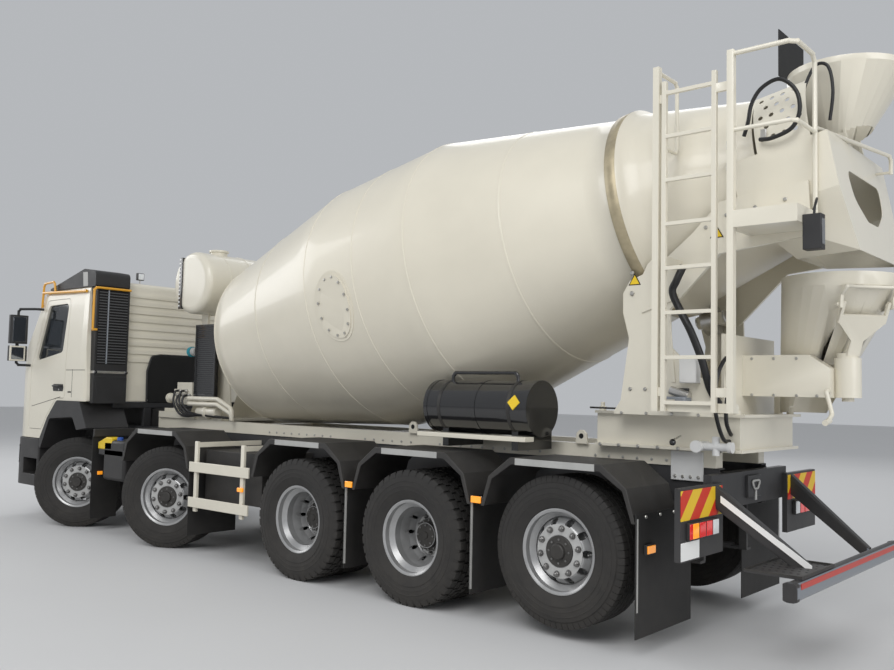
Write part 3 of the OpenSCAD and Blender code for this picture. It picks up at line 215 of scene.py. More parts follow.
def make_finishes():
    finish("white_paint", (0.74, 0.70, 0.59), rough=0.3, tone=0.04, tone_size=0.9, grain=0.08, grain_size=160,
           dust=0.3, dust_top=1.6, coat=0.35)
    finish("drum_paint", (0.73, 0.685, 0.57), rough=0.36, tone=0.05, tone_size=0.7, grain=0.14, grain_size=60,
           dust=0.25, dust_top=2.6, coat=0.25)
    finish("cool_white", (0.70, 0.70, 0.69), rough=0.42, tone=0.05, grain=0.08)
    finish("charcoal_plastic", (0.019, 0.019, 0.0205), rough=0.52, tone=0.2, tone_size=5, grain=0.4,
           grain_size=420, dust=0.13, dust_top=1.6)
    finish("fender_plastic", (0.022, 0.0215, 0.0215), rough=0.58, tone=0.3, tone_size=4, grain=0.4,
           grain_size=350, dust=0.18, dust_top=1.7)
    finish("chassis_paint", (0.021, 0.022, 0.025), rough=0.5, tone=0.25, tone_size=3, grain=0.2,
           grain_size=120, dust=0.2, dust_top=1.5)
    finish("black_paint", (0.008, 0.008, 0.009), rough=0.16, tone=0.2, coat=0.8)
    finish("flap_rubber", (0.010, 0.010, 0.0105), rough=0.66, tone=0.3, grain=0.3, grain_size=200, dust=0.09)
    finish("tyre_rubber", (0.0135, 0.0133, 0.0135), rough=0.75, tone=0.25, tone_size=6, grain=0.35,
           grain_size=240, dust=0.15, dust_top=1.5)
    finish("silver_wheel", (0.42, 0.425, 0.43), rough=0.34, metal=0.55, tone=0.12, tone_size=7, grain=0.12,
           grain_size=200, dust=0.3, dust_top=1.7)
    finish("dark_hub", (0.035, 0.034, 0.033), rough=0.5, metal=0.3, tone=0.3, tone_size=12, grain=0.3,
           dust=0.2)
    finish("dull_grey", (0.40, 0.40, 0.385), rough=0.5, tone=0.1, tone_size=5, grain=0.1, dust=0.25)
    finish("rib_grey", (0.075, 0.076, 0.08), rough=0.5, tone=0.1, grain=0.2)
    finish("track_tan", (0.42, 0.36, 0.24), rough=0.42, metal=0.4, tone=0.18, tone_size=9, grain=0.2)
    finish("nut_steel", (0.20, 0.195, 0.19), rough=0.32, metal=0.75, tone=0.15, tone_size=14)
    finish("ring_silver", (0.50, 0.50, 0.49), rough=0.4, metal=0.25, tone=0.1, tone_size=7, dust=0.2)
    finish("bare_steel", (0.55, 0.54, 0.52), rough=0.3, metal=0.9, tone=0.15, tone_size=14, grain=0.15)
    finish("zinc_bolt", (0.48, 0.47, 0.44), rough=0.38, metal=0.85, tone=0.15, tone_size=20)
    finish("orange_tube", (0.74, 0.36, 0.025), rough=0.33, tone=0.08, coat=0.4)
    finish("amber_lens", (0.95, 0.33, 0.02), rough=0.12, tone=0.05, tone_size=40, coat=0.9, glow=0.55)
    finish("red_lens", (0.62, 0.012, 0.012), rough=0.12, tone=0.08, tone_size=40, coat=0.9, glow=0.35)
    finish("smoked_lens", (0.05, 0.055, 0.06), rough=0.1, tone=0.05, tone_size=30, coat=0.8)
    finish("clear_lens", (0.82, 0.84, 0.85), rough=0.1, tone=0.05, tone_size=30, coat=0.8)
    finish("plate_white", (0.85, 0.85, 0.83), rough=0.35, tone=0.02)
    finish("hose_rubber", (0.010, 0.010, 0.011), rough=0.42, tone=0.2, grain=0.2, grain_size=500)
    finish("control_grey", (0.25, 0.27, 0.30), rough=0.45, tone=0.08, grain=0.2)
    finish("yellow_plastic", (0.80, 0.55, 0.02), rough=0.4, tone=0.06, grain=0.15)
    finish("blue_plastic", (0.03, 0.10, 0.42), rough=0.35, tone=0.06)
    finish("teal_cap", (0.02, 0.26, 0.33), rough=0.35, tone=0.06)
    finish("red_paint", (0.50, 0.03, 0.015), rough=0.35, tone=0.06)
    finish("bar_grey", (0.20, 0.22, 0.25), rough=0.35, tone=0.08, metal=0.3, coat=0.3)
    finish("seat_cloth", (0.05, 0.052, 0.06), rough=0.9, tone=0.2, tone_size=20, grain=0.5,
           grain_size=700, sheen=0.4)
    # near-black: painted shade in the rear wall's recess, behind the duct's louvres, along the door's crease
    # and in the holes of the lifting eyes and the step; also the real colour of the cab's seams and the
    # signs' borders
    finish("shade_seam_print_black", (0.004, 0.004, 0.004), rough=0.8, tone=0.1)
    glass = finish("cab_glazing", (0.015, 0.02, 0.025), rough=0.04, tone=0.05, coat=0.5, alpha=0.62)
    glass.surface_render_method = "DITHERED"
    finish("mirror_face", (0.30, 0.32, 0.35), rough=0.06, metal=1.0, tone=0.02)
    striped("warning_stripes", (0.62, 0.03, 0.01), (0.80, 0.52, 0.02), 0.14, (0, 1, 1))


# Shapes
ORIGIN, LEFT, UP = (0, 0, 0), (0, 1, 0), (0, 0, 1)
SHARP_ANGLE = math.radians(32)
BEVEL_ANGLE = math.radians(40)
FLAT_ANGLE = math.radians(1)
PIECE_WELD, NODE_WELD = 1e-5, 2e-5
# The record's slot of each finish that isn't a slot by itself.
USUAL_SLOT = {
    "amber_lens": "lamp_lens", "clear_lens": "lamp_lens", "red_lens": "lamp_lens", "smoked_lens": "lamp_lens",
    "warning_stripes": "lamp_lens", "zinc_bolt": "bare_steel", "teal_cap": "bare_steel",
    "mirror_face": "bare_steel", "hose_rubber": "black_paint", "drum_paint": "white_paint",
    "cool_white": "white_paint", "shade_seam_print_black": "white_paint", "control_grey": "charcoal_plastic",
    "rib_grey": "charcoal_plastic", "blue_plastic": "charcoal_plastic", "ring_silver": "silver_wheel"}


def lay(outline, along, level):
    """The points of an outline in the two other axes, at a level along one axis (0, 1 or 2)."""
    return [(*p[:along], level, *p[along:]) for p in outline]


def around(steps):
    return [2 * math.pi * k / steps for k in range(steps)]


class Shape:
    """Gathers the faces of one piece, in metres in the truck's frame."""

    def __init__(self):
        self.bm = bmesh.new()

    def box(self, low, high):
        for v in bmesh.ops.create_cube(self.bm, size=1.0)["verts"]:
            v.co = [a + (co + 0.5) * (b - a) for a, b, co in zip(low, high, v.co)]
        return self

    def skin(self, rings, closed=False, ends=True):
        """Joins rings of points by faces; a ring of one point is a tip."""
        rings = [[self.bm.verts.new(p) for p in ring] for ring in rings]
        for a, b in list(zip(rings, rings[1:])) + [(rings[-1], rings[0])] * closed:
            for k in range(max(len(a), len(b))):
                corners = (a[k % len(a)], a[(k + 1) % len(a)], b[(k + 1) % len(b)], b[k % len(b)])
                corners = list(dict.fromkeys(corners))
                if len(corners) > 2:
                    self.bm.faces.new(corners)
        if ends and not closed:
            self.bm.faces.new(rings[0][::-1])
            self.bm.faces.new(rings[-1])
        return self

    def prism(self, outline, along, start, end):
        """An outline in the two other axes, pulled along one axis (0, 1 or 2)."""
        return self.skin([lay(outline, along, level) for level in (start, end)])

    def strip(self, outline, inner, along, start, end):
        """A frame between an outer and an inner outline of as many points."""
        return self.skin([lay(outline, along, start), lay(outline, along, end), lay(inner, along, end),
                          lay(inner, along, start)], closed=True)

    def slab(self, points, out, low, high):
        """Points in one plane, pulled along its normal."""
        return self.skin([[p + out * level for p in points] for level in (low, high)])

    def lathe(self, profile, centre, axis, steps=40, closed=False):
        """A profile of (along, radius) turned about an axis, with flat ends unless it is closed."""
        axis = Vector(axis).normalized()
        side = axis.orthogonal().normalized()
        up = axis.cross(side)
        centre = Vector(centre)
        if not closed:
            (first, first_radius), (last, last_radius) = profile[0], profile[-1]
            profile = [(first, 0)] * (first_radius > 0) + profile + [(last, 0)] * (last_radius > 0)
        rings = [[centre + axis * along + radius * (side * math.cos(a) + up * math.sin(a))
                  for a in (around(steps) if radius else (0,))] for along, radius in profile]
        return self.skin(rings, closed, ends=False)

    def rod(self, a, b, radius, steps=16):
        span = Vector(b) - Vector(a)
        return self.lathe([(0, radius), (span.length, radius)], a, span, steps)

    def tube(self, points, radius, bend=0.05, steps=12, closed=False):
        """A tube along points, with its corners rounded by a bend radius."""
        frames = sweep_frames(rounded_path([Vector(p) for p in points], bend, closed), closed)
        return self.skin([[p + radius * (n * math.cos(a) + b * math.sin(a)) for a in around(steps)]
                          for p, n, b in frames], closed)

    def hose(self, points, radius, steps=10):
        """A flowing tube through places given by their distance behind the first axle."""
        return self.tube(smooth_curve([back(*p) for p in points]), radius, 0.01, steps)

    def bolts(self, places, radius=0.014, height=0.011):
        """Bolt heads on a left face, at places given by their distance behind the first axle."""
        head = [(0, radius), (height * 0.6, radius), (height, radius * 0.7)]
        for place in places:
            self.lathe(head, back(*place), LEFT, 10)
        return self

    def mesh(self, name):
        """The faces as a mesh with its normals outward."""
        bmesh.ops.recalc_face_normals(self.bm, faces=self.bm.faces)
        mesh = bpy.data.meshes.new(name)
        self.bm.to_mesh(mesh)
        self.bm.free()
        return mesh

    def piece(self, name, material, slot=None, bevel=0.0, body="chassis"):
        bmesh.ops.remove_doubles(self.bm, verts=self.bm.verts, dist=PIECE_WELD)
        slot = slot or USUAL_SLOT.get(material, material)
        return settle(name, self.mesh(name), body, material, bevel)


def block(name, low, high, material, slot=None, bevel=0.0):
    """A piece that is one box on the chassis."""
    Shape().box(low, high).piece(name, material, slot, bevel)


def settle(name, mesh, body, material, bevel=0.0, replaces=()):
    """Puts a finished mesh into the scene as a piece that rides on a body."""
    mesh.name = name
    obj = bpy.data.objects.new(name, mesh)
    bpy.context.scene.collection.objects.link(obj)
    mesh.materials.clear()
    mesh.materials.append(MATERIALS[material])
    if bevel:
        edge = obj.modifiers.new("edge", "BEVEL")
        edge.width = bevel
        edge.segments = 2
        edge.limit_method = "ANGLE"
        edge.angle_limit = BEVEL_ANGLE
        edge.harden_normals = False
    mesh.polygons.foreach_set("use_smooth", [True] * len(mesh.polygons))
    mesh.set_sharp_from_angle(angle=SHARP_ANGLE)
    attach(obj, body)
    if replaces:
        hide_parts(*replaces)
    return obj


ALMOST_STRAIGHT = 0.02  # radians
ARC_STEP = 12  # degrees


def rounded_path(points, bend, closed):
    """The points with each corner replaced by an arc of short steps."""
    if closed:
        corners = range(len(points))
    else:
        corners = range(1, len(points) - 1)
    path = [] if closed else [points[0]]
    for i in corners:
        p, before, after = points[i], points[i - 1], points[(i + 1) % len(points)]
        u, v = (before - p), (after - p)
        turn = math.pi - u.angle(v)
        if turn < ALMOST_STRAIGHT:
            path.append(p)
            continue
        cut = min(bend * math.tan(turn / 2), 0.49 * u.length, 0.49 * v.length)
        a, b = p + u.normalized() * cut, p + v.normalized() * cut
        steps = max(2, int(math.degrees(turn) / ARC_STEP))
        for k in range(steps + 1):
            t = k / steps
            path.append((1 - t) ** 2 * a + 2 * t * (1 - t) * p + t ** 2 * b)
    if not closed:
        path.append(points[-1])
    return path


def sweep_frames(path, closed):
    """Places along a path with two directions across it, carried along without twist."""
    frames, normal = [], None
    count = len(path)
    for i, p in enumerate(path):
        before = path[i - 1] if i or closed else p
        after = path[(i + 1) % count] if i < count - 1 or closed else p
        along = (after - before).normalized()
        if normal is None:
            normal = along.orthogonal().normalized()
        normal = (normal - along * normal.dot(along)).normalized()
        frames.append((p, normal, along.cross(normal)))
    return frames


def smooth_curve(points, per=8):
    """A flowing line through chosen points."""
    pts = [Vector(p) for p in points]
    line = []
    for i in range(len(pts) - 1):
        p0, p1 = pts[max(0, i - 1)], pts[i]
        p2, p3 = pts[i + 1], pts[min(len(pts) - 1, i + 2)]
        for k in range(per):
            t = k / per
            line.append(0.5 * (2 * p1 + (p2 - p0) * t + (2 * p0 - 5 * p1 + 4 * p2 - p3) * t ** 2
                               + (3 * p1 - p0 - 3 * p2 + p3) * t ** 3))
    line.append(pts[-1])
    return line


def dress(node, material, bevel):
    """A cleaned copy of a CAD node with softened edges stands for it."""
    source = frame["nodes"][node]
    bm = bmesh.new()
    bm.from_mesh(source.data)
    bmesh.ops.remove_doubles(bm, verts=bm.verts, dist=NODE_WELD)
    if bevel:
        bmesh.ops.dissolve_limit(bm, angle_limit=FLAT_ANGLE, verts=bm.verts, edges=bm.edges)
    mesh = bpy.data.meshes.new(node + "_dressed")
    bm.to_mesh(mesh)
    bm.free()
    return settle(node + "_dressed", mesh, source["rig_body"], material, bevel, (node,))


def keep(node, material):
    """A CAD node that stays as it is and takes a finish."""
    mesh = frame["nodes"][node].data
    mesh.materials.clear()
    mesh.materials.append(MATERIALS[material])


# Geometry Nodes: one tree sets copies of a small piece round a ring, one sets them along a row.
def tree_start(name, sockets):
    tree = bpy.data.node_groups.new(name, "GeometryNodeTree")
    tree.interface.new_socket("Geometry", in_out="INPUT", socket_type="NodeSocketGeometry")
    for label, kind, value in sockets:
        made = tree.interface.new_socket(label, in_out="INPUT", socket_type=kind)
        if value is not None:
            made.default_value = value
    tree.interface.new_socket("Geometry", in_out="OUTPUT", socket_type="NodeSocketGeometry")
    return tree, tree.nodes.new("NodeGroupInput"), tree.nodes.new("NodeGroupOutput")


def tree_end(tree, source, inputs, output):
    """Copies the piece to the points, makes the copies real and gives them their finish."""
    new, link = tree.nodes.new, tree.links.new
    piece = new("GeometryNodeObjectInfo")
    link(inputs.outputs["Piece"], piece.inputs["Object"])
    copies = new("GeometryNodeInstanceOnPoints")
    link(source[0], copies.inputs["Points"])
    link(piece.outputs["Geometry"], copies.inputs["Instance"])
    if source[1] is not None:
        link(source[1], copies.inputs["Rotation"])
    real = new("GeometryNodeRealizeInstances")
    link(copies.outputs["Instances"], real.inputs["Geometry"])
    paint = new("GeometryNodeSetMaterial")
    link(real.outputs["Geometry"], paint.inputs["Geometry"])
    link(inputs.outputs["Finish"], paint.inputs["Material"])
    link(paint.outputs["Geometry"], output.inputs["Geometry"])
    return tree


def ring_tree():
    """Copies round the Z axis, each turned with its place on the ring."""
    tree, inputs, output = tree_start("ring_of_pieces", (
        ("Count", "NodeSocketInt", 10), ("Radius", "NodeSocketFloat", 0.1),
        ("Phase", "NodeSocketFloat", 0.0), ("Piece", "NodeSocketObject", None),
        ("Finish", "NodeSocketMaterial", None)))
    new, link = tree.nodes.new, tree.links.new
    points = new("GeometryNodePoints")
    link(inputs.outputs["Count"], points.inputs["Count"])
    index = new("GeometryNodeInputIndex")
    step = new("ShaderNodeMath")
    step.operation = "DIVIDE"
    step.inputs[0].default_value = 2 * math.pi
    link(inputs.outputs["Count"], step.inputs[1])
    angle = new("ShaderNodeMath")
    angle.operation = "MULTIPLY_ADD"
    link(index.outputs[0], angle.inputs[0])
    link(step.outputs[0], angle.inputs[1])
    link(inputs.outputs["Phase"], angle.inputs[2])
    place = new("ShaderNodeCombineXYZ")
    for socket, operation in (("X", "COSINE"), ("Y", "SINE")):
        part = new("ShaderNodeMath")
        part.operation = operation
        link(angle.outputs[0], part.inputs[0])
        times = new("ShaderNodeMath")
        times.operation = "MULTIPLY"
        link(part.outputs[0], times.inputs[0])
        link(inputs.outputs["Radius"], times.inputs[1])
        link(times.outputs[0], place.inputs[socket])
    link(place.outputs[0], points.inputs["Position"])
    turn = new("ShaderNodeCombineXYZ")
    link(angle.outputs[0], turn.inputs["Z"])
    return tree_end(tree, (points.outputs[0], turn.outputs[0]), inputs, output)


def row_tree():
    """Copies along a straight row from one end to the other."""
    tree, inputs, output = tree_start("row_of_pieces", (
        ("Count", "NodeSocketInt", 10), ("Start", "NodeSocketVector", None),
        ("Step", "NodeSocketVector", None), ("Piece", "NodeSocketObject", None),
        ("Finish", "NodeSocketMaterial", None)))
    new, link = tree.nodes.new, tree.links.new
    line = new("GeometryNodeMeshLine")
    line.mode = "OFFSET"
    link(inputs.outputs["Count"], line.inputs["Count"])
    link(inputs.outputs["Start"], line.inputs["Start Location"])
    link(inputs.outputs["Step"], line.inputs["Offset"])
    return tree_end(tree, (line.outputs[0], None), inputs, output)


def run_tree(tree, values, piece, material):
    """Runs a tree on an empty mesh and returns the result as a plain mesh."""
    holder = bpy.data.objects.new("holder", bpy.data.meshes.new("holder"))
    bpy.context.scene.collection.objects.link(holder)
    modifier = holder.modifiers.new("repeat", "NODES")
    modifier.node_group = tree
    ids = {i.name: i.identifier for i in tree.interface.items_tree
           if i.item_type == "SOCKET" and i.in_out == "INPUT"}
    for label, value in {**values, "Piece": piece, "Finish": MATERIALS[material]}.items():
        modifier[ids[label]] = value
    bpy.context.view_layer.update()
    graph = bpy.context.evaluated_depsgraph_get()
    mesh = bpy.data.meshes.new_from_object(holder.evaluated_get(graph), depsgraph=graph)
    holder.modifiers.remove(modifier)
    bpy.data.objects.remove(holder)
    return mesh


def small_piece(name, shape):
    """A small form kept out of the render, for the trees to copy."""
    obj = bpy.data.objects.new(name, shape.mesh(name))
    bpy.context.scene.collection.objects.link(obj)
    return obj


def join_meshes(name, parts):
    """One mesh from (mesh, matrix) pairs."""
    bm = bmesh.new()
    for mesh, matrix in parts:
        start = len(bm.verts)
        bm.from_mesh(mesh)
        bm.verts.ensure_lookup_table()
        bmesh.ops.transform(bm, matrix=matrix, verts=bm.verts[start:])
    bmesh.ops.recalc_face_normals(bm, faces=bm.faces)
    mesh = bpy.data.meshes.new(name)
    bm.to_mesh(mesh)
    bm.free()
    return mesh


def wheel_matrix(n, side, name):
    """From a wheel's own frame, axis along +Z and outwards, to its place on the truck."""
    j = joint(f"spin_{n}_{name}")
    out = Vector(j["axis"]).normalized() * side
    across = Vector((0, 0, 1)).cross(out).normalized()
    turn = Matrix((across, out.cross(across), out)).transposed().to_4x4()
    return Matrix.Translation(Vector(j["pos_m"])) @ turn


# Wheels
TREAD_SHARE = 0.41  # half the tread's width as a share of the tyre's
TWIN_OFFSET = 0.175  # from the middle of a twin wheel to each tyre's middle
SINGLE = {"radius": 0.532, "width": 0.380, "rim": 0.149, "bead": 0.285}
TWIN = {"radius": 0.537, "width": 0.312, "rim": 0.114, "bead": 0.285}


def tyre_body(size, groove):
    """The tyre's closed section, turned about Z, with raised rings on its side walls."""
    r, w, hw, bead = size["radius"], size["width"], size["rim"], size["bead"]
    tread = w * TREAD_SHARE
    side = (bead + r) / 2 + 0.006
    half = [(hw - 0.04, bead + 0.0003), (hw - 0.0003, bead + 0.0003), (hw + 0.0037, bead + 0.0143),
            (hw + 0.014, bead + 0.0185), (w / 2 - 0.007, side - 0.06), (w / 2 - 0.0035, side - 0.045),
            (w / 2 - 0.001, side - 0.043), (w / 2 - 0.001, side - 0.038), (w / 2 - 0.0035, side - 0.036),
            (w / 2 - 0.0015, side - 0.012), (w / 2, side - 0.010), (w / 2, side - 0.004),
            (w / 2 - 0.0015, side - 0.002), (w / 2 - 0.0025, side + 0.025), (w / 2 - 0.0005, side + 0.027),
            (w / 2 - 0.0005, side + 0.031), (w / 2 - 0.004, side + 0.034), (w / 2 - 0.008, side + 0.06),
            (tread + 0.017, r - 0.05), (tread + 0.010, r - 0.028), (tread + 0.002, r - groove - 0.002),
            (tread - 0.010, r - groove)]
    inner = [(tread - 0.014, r - 0.045), (w / 2 - 0.022, side)]
    outer = half + [(-a, b) for a, b in reversed(half)]
    return outer + [(-a, b) for a, b in reversed(inner)] + inner


def lug(section, half_angle):
    """A block of tread: a section in height and radius, swept a few degrees about Z."""
    return Shape().skin([[(r * math.cos(a), r * math.sin(a), z) for z, r in section]
                         for a in (-half_angle, half_angle)])


def tread_rows(size, drive, groove):
    """Sections, counts, half angles and phases of the rows of tread blocks."""
    r, tread = size["radius"], size["width"] * TREAD_SHARE
    low = r - groove - 0.002
    shoulder = 0.0685 if drive else 0.1025
    count = 42 if drive else 66
    pitch = 2 * math.pi / count
    edge = [(shoulder, low), (shoulder, r), (tread - 0.002, r - 0.001), (tread + 0.003, r - 0.004),
            (tread + 0.013, r - 0.027), (tread + 0.019, r - 0.05), (tread + 0.010, r - 0.05)]
    rows = [(edge, count, pitch * (0.37 if drive else 0.46), 0.0),
            ([(-z, b) for z, b in reversed(edge)], count, pitch * (0.37 if drive else 0.46), pitch / 2)]
    bands = ((-0.0555, -0.0065), (0.0065, 0.0555)) if drive else ((-0.0895, -0.0385), (-0.0255, 0.0255),
                                                                 (0.0385, 0.0895))
    for k, (a, b) in enumerate(bands):
        part = [(a, low), (a, r), (b, r), (b, low)]
        rows.append((part, count, pitch * (0.40 if drive else 0.47), pitch * (0.25 + 0.5 * (k % 2))))
    return rows


def tread_mesh(name, size, drive, groove, tree):
    parts = []
    for k, (section, count, half, phase) in enumerate(tread_rows(size, drive, groove)):
        block = small_piece(f"{name}_block_{k}", lug(section, half))
        mesh = run_tree(tree, {"Count": count, "Radius": 0.0, "Phase": phase}, block, "tyre_rubber")
        parts.append((mesh, Matrix.Identity(4)))
        bpy.data.objects.remove(block)
    body = Shape().lathe(tyre_body(size, groove), ORIGIN, UP, 96, closed=True).mesh(name)
    parts.append((body, Matrix.Identity(4)))
    return join_meshes(name, parts)


def build_tyres(groove):
    tree = ring_tree()
    single = tread_mesh("steer_tyre", SINGLE, False, groove, tree)
    twin = tread_mesh("drive_tyre", TWIN, True, groove, tree)
    for n, name, side in WHEELS:
        place = wheel_matrix(n, side, name)
        if n in TWIN_AXLES:
            parts = [(twin, place @ Matrix.Translation((0, 0, z))) for z in (-TWIN_OFFSET, TWIN_OFFSET)]
        else:
            parts = [(single, place)]
        mesh = join_meshes(f"tread_{n}_{name}", parts)
        settle(f"tread_{n}_{name}", mesh, f"wheel_{n}_{name}", "tyre_rubber",
               replaces=(f"tyre_{n}_{name}",))


def nut_shape(grow):
    """A washer, a hexagon and a domed cap."""
    shape = Shape()
    for steps, section in ((16, [(0, 0.0195), (0.005, 0.0195), (0.006, 0.017)]),
                           (6, [(0.0055, 0.0162), (0.021, 0.0162), (0.023, 0.014)]),
                           (12, [(0.022, 0.0125), (0.031, 0.0118), (0.035, 0.008), (0.037, 0)])):
        shape.lathe([(along, radius * grow) for along, radius in section], ORIGIN, UP, steps)
    return shape


def build_wheel_fittings(nut_count):
    """Nuts, hubs, rings and valves; each row is a copied form, its count, radius, phase and height."""
    tree = ring_tree()
    hub_bolt = Shape().lathe([(0, 0.0085), (0.006, 0.0085), (0.007, 0.006)], ORIGIN, UP, 6)
    forms = {"wheel_nut": nut_shape(1.0), "wide_wheel_nut": nut_shape(1.25), "hub_bolt": hub_bolt}
    forms = {name: small_piece(name, shape) for name, shape in forms.items()}
    rows = {
        False: (("wide_wheel_nut", nut_count, 0.160, 0.2, 0.133), ("hub_bolt", 8, 0.082, 0.0, 0.1445)),
        True: (("wheel_nut", nut_count, 0.154, 0.2, 0.0125), ("hub_bolt", 12, 0.1165, 0.0, 0.0715),
               ("hub_bolt", 8, 0.080, 0.0, 0.1115))}
    nuts = {False: [], True: []}
    for twin, table in rows.items():
        for name, count, radius, phase, height in table:
            values = {"Count": count, "Radius": radius, "Phase": phase}
            mesh = run_tree(tree, values, forms[name], "nut_steel")
            nuts[twin].append((mesh, Matrix.Translation((0, 0, height))))
    for obj in forms.values():
        bpy.data.objects.remove(obj)
    hubs = {
        False: [(0.1335, 0.109), (0.1425, 0.109), (0.1455, 0.105), (0.1455, 0.064), (0.149, 0.058),
                (0.170, 0.054), (0.175, 0.047)],
        True: [(0.0125, 0.133), (0.066, 0.133), (0.0715, 0.127), (0.0715, 0.1015), (0.1045, 0.1015),
               (0.1115, 0.095), (0.1115, 0.060), (0.1135, 0.056), (0.1135, 0.030), (0.121, 0.026)]}
    rings = {
        False: [(0.1335, 0.114), (0.1335, 0.188), (0.1365, 0.187), (0.1375, 0.183), (0.1375, 0.114)],
        True: [(0.0125, 0.133), (0.0125, 0.177), (0.0155, 0.175), (0.0165, 0.170), (0.0165, 0.133)]}
    valves = {False: (0.085, 0.125), True: (0.1125, 0.150)}
    for n, name, side in WHEELS:
        place, body, twin = wheel_matrix(n, side, name), f"wheel_{n}_{name}", n in TWIN_AXLES
        parts = [(mesh, place @ shift) for mesh, shift in nuts[twin]]
        settle(f"nuts_{n}_{name}", join_meshes(f"nuts_{n}_{name}", parts), body, "nut_steel")
        centre, out = place.translation, place.to_3x3() @ Vector(UP)
        hub = Shape().lathe(hubs[twin], centre, out, 48)
        hub.piece(f"hub_{n}_{name}", "dark_hub", "black_paint", body=body)
        ring = Shape().lathe(rings[twin], centre, out, 64, closed=True)
        ring.piece(f"nut_ring_{n}_{name}", "ring_silver", body=body)
        low, high = valves[twin]
        valve = Shape().rod(place @ Vector((0.232, 0, low)), place @ Vector((0.226, 0, high)), 0.005, 8)
        valve.piece(f"valve_{n}_{name}", "bare_steel", body=body)


# Cab
def build_door(name, side, seam):
    body = f"door_{name}"
    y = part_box("door_left")[1].y * side
    grip_y = y + 0.0384 * side
    recess = Shape().prism([(X1 + 0.105, 1.612), (X1 + 0.345, 1.612), (X1 + 0.36, 1.655), (X1 + 0.345, 1.698),
                            (X1 + 0.105, 1.698), (X1 + 0.09, 1.655)], 1, y - 0.004 * side, y + 0.0025 * side)
    recess.piece(f"handle_recess_{name}", "charcoal_plastic", bevel=0.001, body=body)
    grip = Shape().tube([(X1 + 0.125, y, 1.672), (X1 + 0.135, grip_y, 1.676), (X1 + 0.30, grip_y, 1.676),
                         (X1 + 0.31, y, 1.672)], 0.011, 0.02, 10)
    grip.piece(f"handle_grip_{name}", "charcoal_plastic", body=body)
    lock = Shape().rod((X1 + 0.20, y, 1.632), (X1 + 0.20, y + 0.006 * side, 1.632), 0.011, 16)
    lock.piece(f"handle_lock_{name}", "bare_steel", body=body)
    # painted shade: a near-black strip along the door's crease
    crease = Shape().prism([(X1 + 0.155, 1.541), (X1 + 0.155, 1.541 + seam), (X1 + 0.90, 1.41 + seam),
                            (X1 + 0.90, 1.41)], 1, y - 0.002 * side, y + 0.0012 * side)
    crease.piece(f"door_crease_{name}", "shade_seam_print_black", body=body)


def build_side_panel(name, side, seam):
    """Seams behind the door, the mirrors' faces and the white frame of the lower one."""
    y = 1.2305 * side
    inner, outer = y - 0.003 * side, y + 0.0007 * side
    line = Shape()
    line.box((X1 - 0.118, inner, 1.545), (X1 - 0.118 + seam, outer, 1.88))
    line.box((X1 - 0.40, inner, 1.868), (X1 + 0.045, outer, 1.868 + seam))
    line.box((X1 - 0.100, y, 1.598), (X1 - 0.020, y + 0.0015 * side, 1.614))
    line.piece(f"side_seams_{name}", "shade_seam_print_black")
    mx, my = X1 + 1.0, 1.41 * side
    glass = Shape()
    for z0, z1, inner, outer in ((2.225, 2.535, 0.070, 0.088), (2.0, 2.15, 0.057, 0.0945)):
        glass.box((mx - 0.0725, my - inner * side, z0), (mx - 0.068, my + outer * side, z1))
    glass.piece(f"mirror_glass_{name}", "mirror_face", bevel=0.002)
    inner, outer = my - 0.075 * side, my + 0.1135 * side
    edge = [(inner, 1.981), (outer, 1.981), (outer, 2.169), (inner, 2.169)]
    middle = (inner + outer) / 2
    hole = [(middle + (y - middle) * 0.82, 2.075 + (z - 2.075) * 0.82) for y, z in edge]
    cap = Shape().strip(edge, hole, 0, mx - 0.0712, mx - 0.045)
    cap.piece(f"mirror_cap_{name}", "white_paint", bevel=0.002)


def build_duct():
    """Louvres, seam, clamp and funnel of the intake duct, which the left side alone has."""
    x = X1 - 0.50
    # painted shade: a near-black plate behind the louvres, darker than the duct's plastic, stands for the
    # dark inside of the duct
    block("duct_grille", (x - 0.0015, 0.765, 1.945), (x + 0.003, 1.142, 2.845), "shade_seam_print_black",
          "charcoal_plastic")
    ribs = Shape()
    for k in range(26):
        z = 1.96 + k * 0.0335
        ribs.box((x - 0.012, 0.772, z), (x + 0.001, 1.135, z + 0.013))
    ribs.piece("duct_ribs", "rib_grey", bevel=0.002)
    block("duct_seam", (x - 0.016, 1.013, 1.95), (x + 0.002, 1.027, 2.84), "control_grey", bevel=0.002)
    block("duct_clamp", (x - 0.006, 0.735, 1.835), (x + 0.10, 1.170, 1.865), "bare_steel", bevel=0.003)
    knobs = Shape()
    for y in (0.755, 1.150):
        knobs.lathe([(0, 0.016), (0.02, 0.016), (0.024, 0.012)], (x - 0.004, y, 1.85), (-1, 0, 0), 16)
    knobs.piece("duct_clamp_knobs", "black_paint")
    funnel = Shape().skin([
        [(x - 0.004, 0.745, 1.80), (x - 0.004, 1.16, 1.80), (x + 0.06, 1.16, 1.80), (x + 0.06, 0.745, 1.80)],
        [(x, 0.80, 1.49), (x, 1.10, 1.49), (x + 0.06, 1.10, 1.49), (x + 0.06, 0.80, 1.49)]])
    funnel.piece("duct_funnel", "charcoal_plastic", bevel=0.006)
    strip = Shape().prism([(X1 - 0.19, 3.055), (X1 - 0.30, 3.05), (X1 - 0.32, 2.88), (X1 - 0.21, 2.88)], 1,
                          1.187, 1.1925)
    strip.piece("roof_box_strip", "dull_grey", "charcoal_plastic", 0.001)


def corner_arc(side, inner, outer, start, end):
    """An outline that follows the bumper's rounded corner."""
    angles = [math.radians(start + (end - start) * k / 14) for k in range(15)]
    line = [(outer, a) for a in angles] + [(inner, a) for a in reversed(angles)]
    return [(X1 + 1.125 + r * math.cos(a), (0.97 + r * math.sin(a)) * side) for r, a in line]


